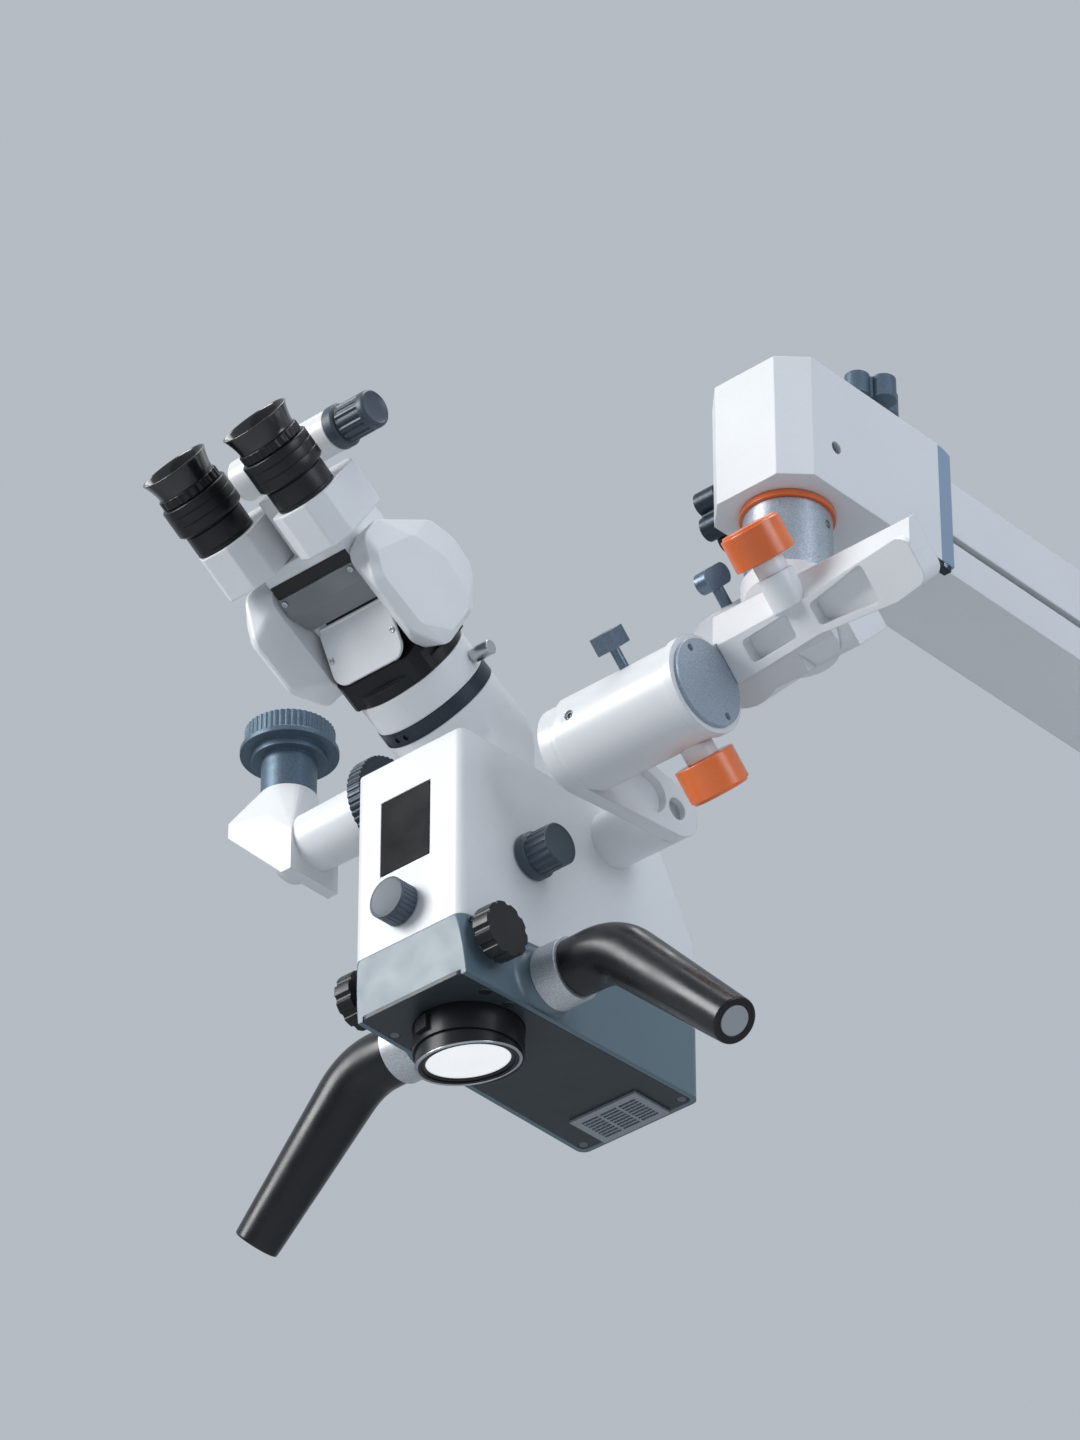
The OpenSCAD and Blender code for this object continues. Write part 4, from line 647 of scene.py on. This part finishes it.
def seam(radius, height):
    """Narrow turned groove round a barrel."""
    return [(radius, height - SEAM_W), (radius - SEAM_DEPTH, height - SEAM_W / 3),
            (radius - SEAM_DEPTH, height + SEAM_W / 3), (radius, height + SEAM_W)]


def barrel_outline():
    """Seat in the prism box, low step, groove, high step with its seams, and the bored neck."""
    seat = [(SEAT_R, BOX_FRONT - SEAT_L), (SEAT_R, BOX_FRONT)]
    low = [(LOW_R - LOW_EDGE, BOX_FRONT), (LOW_R, BOX_FRONT + LOW_EDGE)]
    low += seam(LOW_R, BOX_FRONT + LOW_SEAM_AT)
    low += [(LOW_R, LOW_TOP - GROOVE_EDGE), (LOW_R - GROOVE_EDGE, LOW_TOP)]
    groove = [(LOW_R - GROOVE, LOW_TOP), (LOW_R - GROOVE, HIGH_LOW)]
    high = [(HIGH_R - CONE_IN, HIGH_LOW), (HIGH_R, HIGH_LOW + CONE_L)]
    for share in HIGH_SEAM_SHARES:
        high += seam(HIGH_R, HIGH_LOW + HIGH_L * share)
    high += [(HIGH_R, HIGH_TOP - HIGH_EDGE), (HIGH_R - HIGH_EDGE, HIGH_TOP)]
    neck = [(NECK_R, HIGH_TOP), (NECK_R, HIGH_TOP + NECK_L - NECK_EDGE),
            (NECK_R - NECK_EDGE, HIGH_TOP + NECK_L)]
    bore = [(EYE_BORE, HIGH_TOP + NECK_L), (EYE_BORE - EYE_BORE_DRAFT, HIGH_TOP + EYE_BORE_FLOOR),
            (0, HIGH_TOP + EYE_BORE_FLOOR)]
    return seat + low + groove + high + neck + bore


def eyepiece(side, name):
    """Barrel, ribbed diopter ring, eyecup and its lens."""
    eye = at(EYES, side * PUPIL_HALF, EYE_P, EYE_E)
    ring_foot, ring_head = at(eye, 0, 0, RING_LOW), at(eye, 0, 0, RING_TOP)
    slide, diopter = f"slide_{name}", f"diopter_{name}"
    barrel = turned_piece(f"eyepiece_barrel_{name}", barrel_outline(), eye, "black", slide, 96)
    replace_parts(barrel, f"eyepiece_{name}")
    ring = ribbed_piece(f"diopter_ring_{name}", RING_OUTLINE, RING_RIBS, RING_RIB_DEPTH, ring_foot, "black",
                        diopter)
    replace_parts(ring, f"eyecup_{name}")
    turned_piece(f"cup_{name}", CUP_OUTSIDE + CUP_RIM + CUP_INSIDE, ring_head, "polished", diopter, 96)
    turned_piece(f"ocular_{name}", OCULAR, ring_head, "lens", diopter)


for side, name in SIDES:
    eyepiece(side, name)

# Knob of the pupil distance: collar, neck, ribbed barrel, plain rim with a dished cap
PUPIL_KNOB_X, PUPIL_KNOB_P, PUPIL_KNOB_E = 38.3, 29.0, 91.0
PUPIL_KNOB_RIBS, PUPIL_KNOB_RIB_DEPTH = 16, 0.9
PUPIL_COLLAR = [(13.0, 0), (13.5, 0.5), (13.5, 6.0), (12.7, 6.9)]
PUPIL_NECK = [(10.6, 7.1), (10.6, 8.0), (11.3, 8.2), (11.7, 8.7)]
PUPIL_BARREL = [(11.7, 8.9), (11.7, 25.4)]
PUPIL_CAP = [(11.7, 25.6), (11.7, 28.6), (11.2, 30.2), (10.3, 31.0), (9.6, 30.9), (8.8, 30.1), (5.0, 29.6),
             (0, 29.5)]
pupil_knob = ribbed_piece("pupil_knob_barrel", plain(PUPIL_COLLAR + PUPIL_NECK) + ribbed(PUPIL_BARREL)
                          + plain(PUPIL_CAP), PUPIL_KNOB_RIBS, PUPIL_KNOB_RIB_DEPTH,
                          at(EYES, PUPIL_KNOB_X, PUPIL_KNOB_P, PUPIL_KNOB_E) @ FACE_RIGHT,
                          "knob", "pupil_knob", steps=10)
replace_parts(pupil_knob, "ipd_knob")

# Brightness knob on the front
DIMMER_X, DIMMER_Y, DIMMER_Z = -4.0, -0.3, 61.0
DIMMER_R, DIMMER_H, DIMMER_RIBS, DIMMER_RIB_DEPTH = 13.0, 13.0, 26, 0.6
dimmer = ribbed_piece("dimmer_cap", knob_outline(DIMMER_R, DIMMER_H), DIMMER_RIBS, DIMMER_RIB_DEPTH,
                      at(BODY, DIMMER_X, DIMMER_Y, DIMMER_Z) @ FACE_FRONT, "knob", "dimmer")
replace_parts(dimmer, "dimmer_knob")

# Magnification knob on the right, with its collar
MAG_X, MAG_Y, MAG_Z = 43.73, 57.0, 100.0
MAG_R, MAG_H, MAG_RIBS, MAG_RIB_DEPTH = 13.0, 16.8, 18, 0.9
MAG_COLLAR_L = 6.2
MAG_COLLAR = [(14.0, 0), (14.5, 0.5), (14.5, 5.4), (13.9, 6.0)]
mag_outline = plain(MAG_COLLAR) + [(radius, height + MAG_COLLAR_L, is_ribbed)
                                   for radius, height, is_ribbed in knob_outline(MAG_R, MAG_H)]
magnification = ribbed_piece("magnification_cap", mag_outline, MAG_RIBS, MAG_RIB_DEPTH,
                             at(BODY, MAG_X, MAG_Y, MAG_Z) @ FACE_RIGHT, "knob", "magnification", steps=10)
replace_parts(magnification, "mag_knob")

# Hinge of the binocular: screws of its two plates, black band of the carriage, ridge of the front plate
STEP_SCREW_X, STEP_FACE_P, STEP_SCREW_E, STEP_SCREW_R, STEP_SCREW_H = 26.3, -24.4, 25.8, 1.9, 1.1
socket_screws("step_plate_screws",
              [at(EYES, side * STEP_SCREW_X, STEP_FACE_P, STEP_SCREW_E) @ FACE_FRONT for side in (-1, 1)],
              STEP_SCREW_R, STEP_SCREW_H, "binocular_top", "silver_x")
PLATE_LOW_Y, PLATE_LOW_Z, PLATE_SLOPE, PLATE_TOP = -31.0, 77.0, 57.99, 2.5
PLATE_SCREW_X, PLATE_SCREW_Y, PLATE_SCREW_R, PLATE_SCREW_H = 24.2, 18.0, 1.8, 0.9
front_plate = at(TUBE, 0, PLATE_LOW_Y, PLATE_LOW_Z) @ tilt(PLATE_SLOPE, "X")
socket_screws("front_plate_screws",
              [at(front_plate, side * PLATE_SCREW_X, PLATE_SCREW_Y, PLATE_TOP) for side in (-1, 1)],
              PLATE_SCREW_R, PLATE_SCREW_H, "binocular_base", "silver_x")
BAND_P, BAND_E, BAND_W, BAND_H, BAND_T, BAND_CORNER, BAND_EDGE = -22.5, 33.3, 60.0, 8.4, 0.5, 0.3, 0.15
plate("carriage_band", BAND_W, BAND_H, BAND_T, BAND_CORNER, at(EYES, 0, BAND_P, BAND_E) @ FACE_FRONT,
      "black", "binocular_top", BAND_EDGE)
RIDGE_Y, RIDGE_Z = 37.4, 1.9
RIDGE = [(0.4, -26.0), (1.0, -25.7), (1.25, -25.0), (1.25, 25.0), (1.0, 25.7), (0.4, 26.0)]
turned_piece("front_plate_bead", RIDGE, at(front_plate, 0, RIDGE_Y, RIDGE_Z) @ FACE_RIGHT, "white",
             "binocular_base", 24)

# Concave feet of the two handles, flared onto the sides of the base as far as its edges let them
HANDLE_Y, HANDLE_Z = 68.0, 20.3
FOOT_X, SIDE_TURN = 43.3, 1.146
FOOT_R, FOOT_FLARE, FOOT_STEPS, FOOT_COUNT = 19.05, 6.9, 8, 96
FOOT_LOW, FOOT_HIGH, LEVEL = 18.9, 21.6, 0.01


def side_edge(up):
    """How far the side of the base reaches from the handle's axis, in a direction that rises by up."""
    if up > LEVEL:
        return FOOT_HIGH / up
    if up < -LEVEL:
        return FOOT_LOW / -up
    return math.inf


def handle_foot(side, name):
    """Flared ring between the side of the base and a handle collar, open at both ends."""
    bm = bmesh.new()
    rings = []
    for step in range(FOOT_STEPS + 1):
        slope = math.radians(90 * step / FOOT_STEPS)
        rise = FOOT_FLARE * (1 - math.cos(slope))
        share = 1 - math.sin(slope)
        points = []
        for angle in angles_round(FOOT_COUNT):
            room = side_edge(-math.cos(angle)) - FOOT_R
            reach = FOOT_R + max(min(FOOT_FLARE, room), 0.0) * share
            points.append((reach * math.cos(angle), reach * math.sin(angle), rise))
        rings.append(points)
    loft(bm, rings, closed_ends=False)
    place = (at(BODY, 0, HANDLE_Y, HANDLE_Z) @ mirror(side) @ shift(FOOT_X, 0, 0)
             @ tilt(-SIDE_TURN, "Z") @ FACE_RIGHT)
    add_piece(f"handle_foot_{name}", bm, place, "base", "microscope")


# Label place on the front: a bare dark plate in its recess
LABEL_X, LABEL_Z = -2.0, 113.0
LABEL_W, LABEL_H, LABEL_CORNER, LABEL_GAP = 39.0, 51.0, 1.2, 0.3
LABEL_RECESS, LABEL_PROUD = 0.5, 0.3
plate("label_plate", LABEL_W - 2 * LABEL_GAP, LABEL_H - 2 * LABEL_GAP, LABEL_RECESS + LABEL_PROUD,
      LABEL_CORNER, at(BODY, LABEL_X, LABEL_RECESS, LABEL_Z) @ FACE_FRONT, "label", "microscope")

# Grips: a straight root, a round bend and a tapered end, with a disc sunk in the end
GRIP_SWING, GRIP_BEND, GRIP_L = 1.0, 44.0, 119.0
BEND_X, BEND_R = 99.16, 42.0
ROOT_X, ROOT_R, SWELL_R, TAPER_R, END_R = 68.5, 17.6, 18.0, 17.8, 14.0
BEND_STEPS, SWELL_LEAD, TAPER_STEPS = 14, 4, 12
CAP_R, CAP_DEPTH = 9.5, 1.2
# Broken edge of the root, as run from its end and inset
ROOT_EDGE = ((0, 0.6), (0.2, 0.2), (0.7, 0))
# End of the grip: run back from it, and radius
GRIP_END = ((1.5, END_R), (0.7, END_R - 0.15), (0.2, END_R - 0.6), (0, END_R - 1.2), (0, CAP_R + 0.3),
            (0.3, CAP_R), (CAP_DEPTH, CAP_R))
DISC_R = CAP_R - 0.3
DISC = [(DISC_R, 0), (DISC_R, 0.6), (DISC_R - 0.5, 0.9), (DISC_R - 1.9, 0.9), (DISC_R - 2.2, 0.7), (0, 0.7)]
BEND_FROM = BEND_X - BEND_R * math.tan(math.radians(GRIP_BEND) / 2)
TAPER_L = GRIP_L - (BEND_X - BEND_FROM)
grip_end = (shift(BEND_FROM, 0, -BEND_R) @ tilt(GRIP_BEND, "Y") @ shift(TAPER_L - CAP_DEPTH, 0, BEND_R)
            @ FACE_RIGHT)


def grip_ring(x, z, slope, radius, count=64):
    """Circle square to a path that drops by an angle, round a point of it."""
    points = []
    for angle in angles_round(count):
        lift = radius * math.cos(angle)
        points.append((x + lift * math.sin(slope), radius * math.sin(angle), z + lift * math.cos(slope)))
    return points


def bend_point(slope):
    """Point of the round bend where the path drops by an angle."""
    return BEND_FROM + BEND_R * math.sin(slope), BEND_R * (math.cos(slope) - 1)


def grip_skin(name, place, body):
    """One skin swept along the path of a grip."""
    rings = [grip_ring(ROOT_X + run, 0, 0, ROOT_R - inset) for run, inset in ROOT_EDGE]
    for k in range(BEND_STEPS + 1):
        slope = math.radians(GRIP_BEND * k / BEND_STEPS)
        swell = math.sin(math.pi * (k + SWELL_LEAD) / (BEND_STEPS + 2 * SWELL_LEAD))
        rings.append(grip_ring(*bend_point(slope), slope, ROOT_R + (SWELL_R - ROOT_R) * swell))
    slope = math.radians(GRIP_BEND)
    start_x, start_z = bend_point(slope)
    taper = [(TAPER_L * k / TAPER_STEPS, TAPER_R + (END_R - TAPER_R) * k / TAPER_STEPS)
             for k in range(1, TAPER_STEPS)]
    for run, radius in taper + [(TAPER_L - back, radius) for back, radius in GRIP_END]:
        x, z = start_x + run * math.cos(slope), start_z - run * math.sin(slope)
        rings.append(grip_ring(x, z, slope, radius))
    bm = bmesh.new()
    loft(bm, rings)
    return add_piece(name, bm, place, "grip", body)


for side, name in SIDES:
    body = f"grip_{name}"
    root = at(BODY, 0, HANDLE_Y, HANDLE_Z) @ mirror(side) @ tilt(GRIP_SWING, "X")
    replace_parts(grip_skin(f"{body}_skin", root, body), f"handle_{body}")
    turned_piece(f"{body}_disc", DISC, root @ grip_end, "disc", body)
    handle_foot(side, name)

# White sleeves round the stems of the orange knobs
SLEEVE_WALL, SLEEVE_TOP, SLEEVE_GAP, SLEEVE_COUNT = 0.35, -0.4, 0.05, 64


def brake_sleeve(name, joint, bore, length, drum_r=0.0):
    """Thin tube whose foot is flat, or follows the drum that it stands on."""
    def ring(radius, is_top):
        points = []
        for angle in angles_round(SLEEVE_COUNT):
            across = radius * math.sin(angle)
            sag = math.sqrt(drum_r * drum_r - across * across) - drum_r if drum_r else 0.0
            height = SLEEVE_TOP if is_top else sag - length + SLEEVE_GAP
            points.append((radius * math.cos(angle), across, height))
        return points
    bm = bmesh.new()
    outside = bore + SLEEVE_WALL
    loop_loft(bm, [ring(bore, False), ring(outside, False), ring(outside, True), ring(bore, True)])
    add_piece(name, bm, joint_frame(joint), "white", "roll_carrier")


brake_sleeve("roll_brake_sleeve", "roll_brake_turn", bore=9.05, length=9.0)
brake_sleeve("tilt_brake_sleeve", "tilt_brake_turn", bore=9.55, length=8.5, drum_r=29.05)

# Objective: bright clamp screw in the barrel
CLAMP_TURN, CLAMP_X, CLAMP_Z = -100, 31.6, -5.0
CLAMP_SCREW = [(1.9, -1.0), (1.9, 1.7), (1.5, 2.1), (0, 2.1)]
clamp_at = OPTIC @ tilt(CLAMP_TURN, "Z") @ shift(CLAMP_X, 0, CLAMP_Z) @ FACE_RIGHT
turned_piece("objective_clamp_screw", CLAMP_SCREW, clamp_at, "silver_z", "microscope", 32)

# Slanted front of the hood: bright lip round it and black ring round the window
HOOD_MID, HOOD_R, HOOD_BORE, WINDOW_TILT = 22.0, 30.5, 26.8, 10.4
HOOD_LIP = [(HOOD_R - 1.6, 0.3), (HOOD_R - 1.6, -0.3), (HOOD_R - 0.9, -0.5), (HOOD_R + 0.02, -0.3),
            (HOOD_R + 0.12, 0.2), (HOOD_R + 0.12, 0.6), (HOOD_R - 0.4, 0.7)]
WINDOW_RING = [(HOOD_BORE, 1.9), (HOOD_BORE, 0.9), (HOOD_BORE - 0.5, 0.6), (HOOD_BORE - 1.7, 0.7),
               (HOOD_BORE - 2.4, 1.3), (HOOD_BORE - 2.4, 1.9)]
stretch = Matrix.Diagonal((1, 1 / math.cos(math.radians(WINDOW_TILT)), 1, 1))
hood_front = at(OPTIC, 0, 0, -HOOD_MID) @ tilt(WINDOW_TILT, "X") @ stretch
turned_ring("hood_lip", HOOD_LIP, hood_front, "silver_z", "microscope")
turned_ring("window_ring", WINDOW_RING, hood_front, "black", "microscope")

# Set screws in the holes of the head and the spindle
SPINDLE = upright_frame("yoke_swivel")
HEAD_SCREW_R, HEAD_SCREW_H, HEAD_SCREW_AT = 3.6, 2.0, (34.2, 0, 30)
SPINDLE_SCREW_R, SPINDLE_SCREW_H, SPINDLE_SCREW_TURN, SPINDLE_SCREW_AT = 2.6, 1.0, 12, (25.4, 0, -15.0)
head_side = at(SPINDLE, *HEAD_SCREW_AT) @ FACE_RIGHT
socket_screws("head_set_screw", [head_side], HEAD_SCREW_R, HEAD_SCREW_H, "head")
spindle_side = SPINDLE @ tilt(SPINDLE_SCREW_TURN, "Z") @ shift(*SPINDLE_SCREW_AT) @ FACE_RIGHT
socket_screws("spindle_set_screw", [spindle_side], SPINDLE_SCREW_R, SPINDLE_SCREW_H, "yoke")

# Brackets under the rear edge of the head, dark as a painted shade for the shadowed underside there, the
# right one with a screw in its side
BRACKET_X, BRACKET_Y, BRACKET_CORNER, BRACKET_EDGE = 34.5, 82.5, 1.0, 0.4
BRACKET_W, BRACKET_L, BRACKET_T = 6.0, 41.0, 3.6
BRACKET_SCREW_Y, BRACKET_SCREW_R, BRACKET_SCREW_H = 97.0, 1.5, 0.6
# The dark look of these brackets is painted shade, not their own colour
for side, name in SIDES:
    plate(f"head_shade_bracket_{name}", BRACKET_W, BRACKET_L, BRACKET_T, BRACKET_CORNER,
          at(SPINDLE, side * BRACKET_X, BRACKET_Y, 0) @ FACE_DOWN, "dark", "head", BRACKET_EDGE)
bracket_side = at(SPINDLE, BRACKET_X + BRACKET_W / 2, BRACKET_SCREW_Y, -BRACKET_T / 2) @ FACE_RIGHT
socket_screws("head_shade_bracket_screw", [bracket_side], BRACKET_SCREW_R, BRACKET_SCREW_H, "head", "silver_x")

# Set screw in the hole of the drum
DRUM_SCREW_R, DRUM_SCREW_H, DRUM_SCREW_AT = 2.9, 1.6, (-111.8, -26.6, 0)
drum_front = at(upright_frame("tilt"), *DRUM_SCREW_AT) @ FACE_FRONT
socket_screws("drum_set_screw", [drum_front], DRUM_SCREW_R, DRUM_SCREW_H, "roll_carrier")

# Screws in the sides of the base
SIDE_SCREW_X, SIDE_SCREW_Y, SIDE_SCREW_Z, SIDE_SCREW_R, SIDE_SCREW_H = 42.1, 7.7, 36.0, 1.7, 0.6
side_screws = [at(BODY, side * SIDE_SCREW_X, SIDE_SCREW_Y, SIDE_SCREW_Z) @ face
               for side, face in ((-1, FACE_LEFT), (1, FACE_RIGHT))]
socket_screws("base_side_screws", side_screws, SIDE_SCREW_R, SIDE_SCREW_H, "microscope")


# Camera and light
def set_camera():
    camera = bpy.data.objects.new("camera", bpy.data.cameras.new("camera"))
    bpy.context.scene.collection.objects.link(camera)
    back = CAMERA_RIGHT.cross(CAMERA_UP).normalized()
    right = CAMERA_UP.cross(back).normalized()
    up = back.cross(right)
    camera.matrix_world = Matrix.Translation(CAMERA_AT) @ Matrix((right, up, back)).transposed().to_4x4()
    camera.data.lens = FOCAL_MM
    camera.data.sensor_width = SENSOR_MM
    camera.data.clip_end = FARTHEST
    bpy.context.scene.camera = camera


def soft_lamp(name, place, size, power, colour):
    """Square lamp that faces the middle of the object."""
    data = bpy.data.lights.new(name, "AREA")
    data.shape = "SQUARE"
    data.size = size
    data.energy = power
    data.color = colour
    lamp = bpy.data.objects.new(name, data)
    bpy.context.scene.collection.objects.link(lamp)
    middle = (cad_low + cad_high) / 2
    lamp.matrix_world = frame_at(place, Vector(place) - middle)
    lamp.visible_camera = False


def set_world():
    """Plain background for the camera and for reflections, and a soft fill for everything else."""
    world = bpy.data.worlds.new("studio")
    bpy.context.scene.world = world
    world.use_nodes = True
    nodes, links = world.node_tree.nodes, world.node_tree.links
    nodes.clear()
    path = nodes.new("ShaderNodeLightPath")
    fill = nodes.new("ShaderNodeBackground")
    fill.inputs["Color"].default_value = (*FILL_COLOUR, 1)
    fill.inputs["Strength"].default_value = FILL_STRENGTH
    shown = nodes.new("ShaderNodeBackground")
    shown.inputs["Color"].default_value = (*BACKGROUND, 1)
    seen = path.outputs["Is Camera Ray"]
    for ray in ("Is Glossy Ray", "Is Transmission Ray"):
        either = nodes.new("ShaderNodeMath")
        either.operation = "MAXIMUM"
        links.new(seen, either.inputs[0])
        links.new(path.outputs[ray], either.inputs[1])
        seen = either.outputs["Value"]
    mix = nodes.new("ShaderNodeMixShader")
    links.new(seen, mix.inputs["Fac"])
    links.new(fill.outputs["Background"], mix.inputs[1])
    links.new(shown.outputs["Background"], mix.inputs[2])
    output = nodes.new("ShaderNodeOutputWorld")
    links.new(mix.outputs["Shader"], output.inputs["Surface"])


def floor_paint():
    """Matt paint seen from above only, and a little paler to the camera than the lamps make it."""
    g = Graph("floor_paint")
    g.finish(g.shade(g.patches(scale=1.2), FLOOR_DARK, FLOOR_LIGHT),
             g.ranged(g.noise(scale=30.0), low=0.55, high=0.7),
             g.bump(g.noise(scale=200.0, detail=2.0), strength=0.1, depth_mm=0.2))
    glow = g.add("ShaderNodeMath", operation="MULTIPLY")
    g.link(g.add("ShaderNodeLightPath").outputs["Is Camera Ray"], glow.inputs[0])
    glow.inputs[1].default_value = FLOOR_GLOW
    g.link(glow.outputs["Value"], g.shader.inputs["Emission Strength"])
    g.shader.inputs["Emission Color"].default_value = (*GLOW_COLOUR, 1)
    one_sided = g.add("ShaderNodeMixShader")
    g.link(g.add("ShaderNodeNewGeometry").outputs["Backfacing"], one_sided.inputs["Fac"])
    g.link(g.shader.outputs["BSDF"], one_sided.inputs[1])
    g.link(g.add("ShaderNodeBsdfTransparent").outputs["BSDF"], one_sided.inputs[2])
    g.link(one_sided.outputs["Shader"], g.output.inputs["Surface"])
    return g.material


def lay_floor():
    bm = bmesh.new()
    corners = ((-1, -1), (1, -1), (1, 1), (-1, 1))
    bm.faces.new([bm.verts.new((x * FLOOR_HALF, y * FLOOR_HALF, FLOOR_Z)) for x, y in corners])
    mesh = bpy.data.meshes.new("floor")
    bm.to_mesh(mesh)
    bm.free()
    floor = bpy.data.objects.new("floor", mesh)
    bpy.context.scene.collection.objects.link(floor)
    floor.data.materials.append(floor_paint())


set_camera()
for lamp in LAMPS:
    soft_lamp(*lamp)
set_world()
lay_floor()

bpy.context.scene.view_settings.view_transform = "Standard"
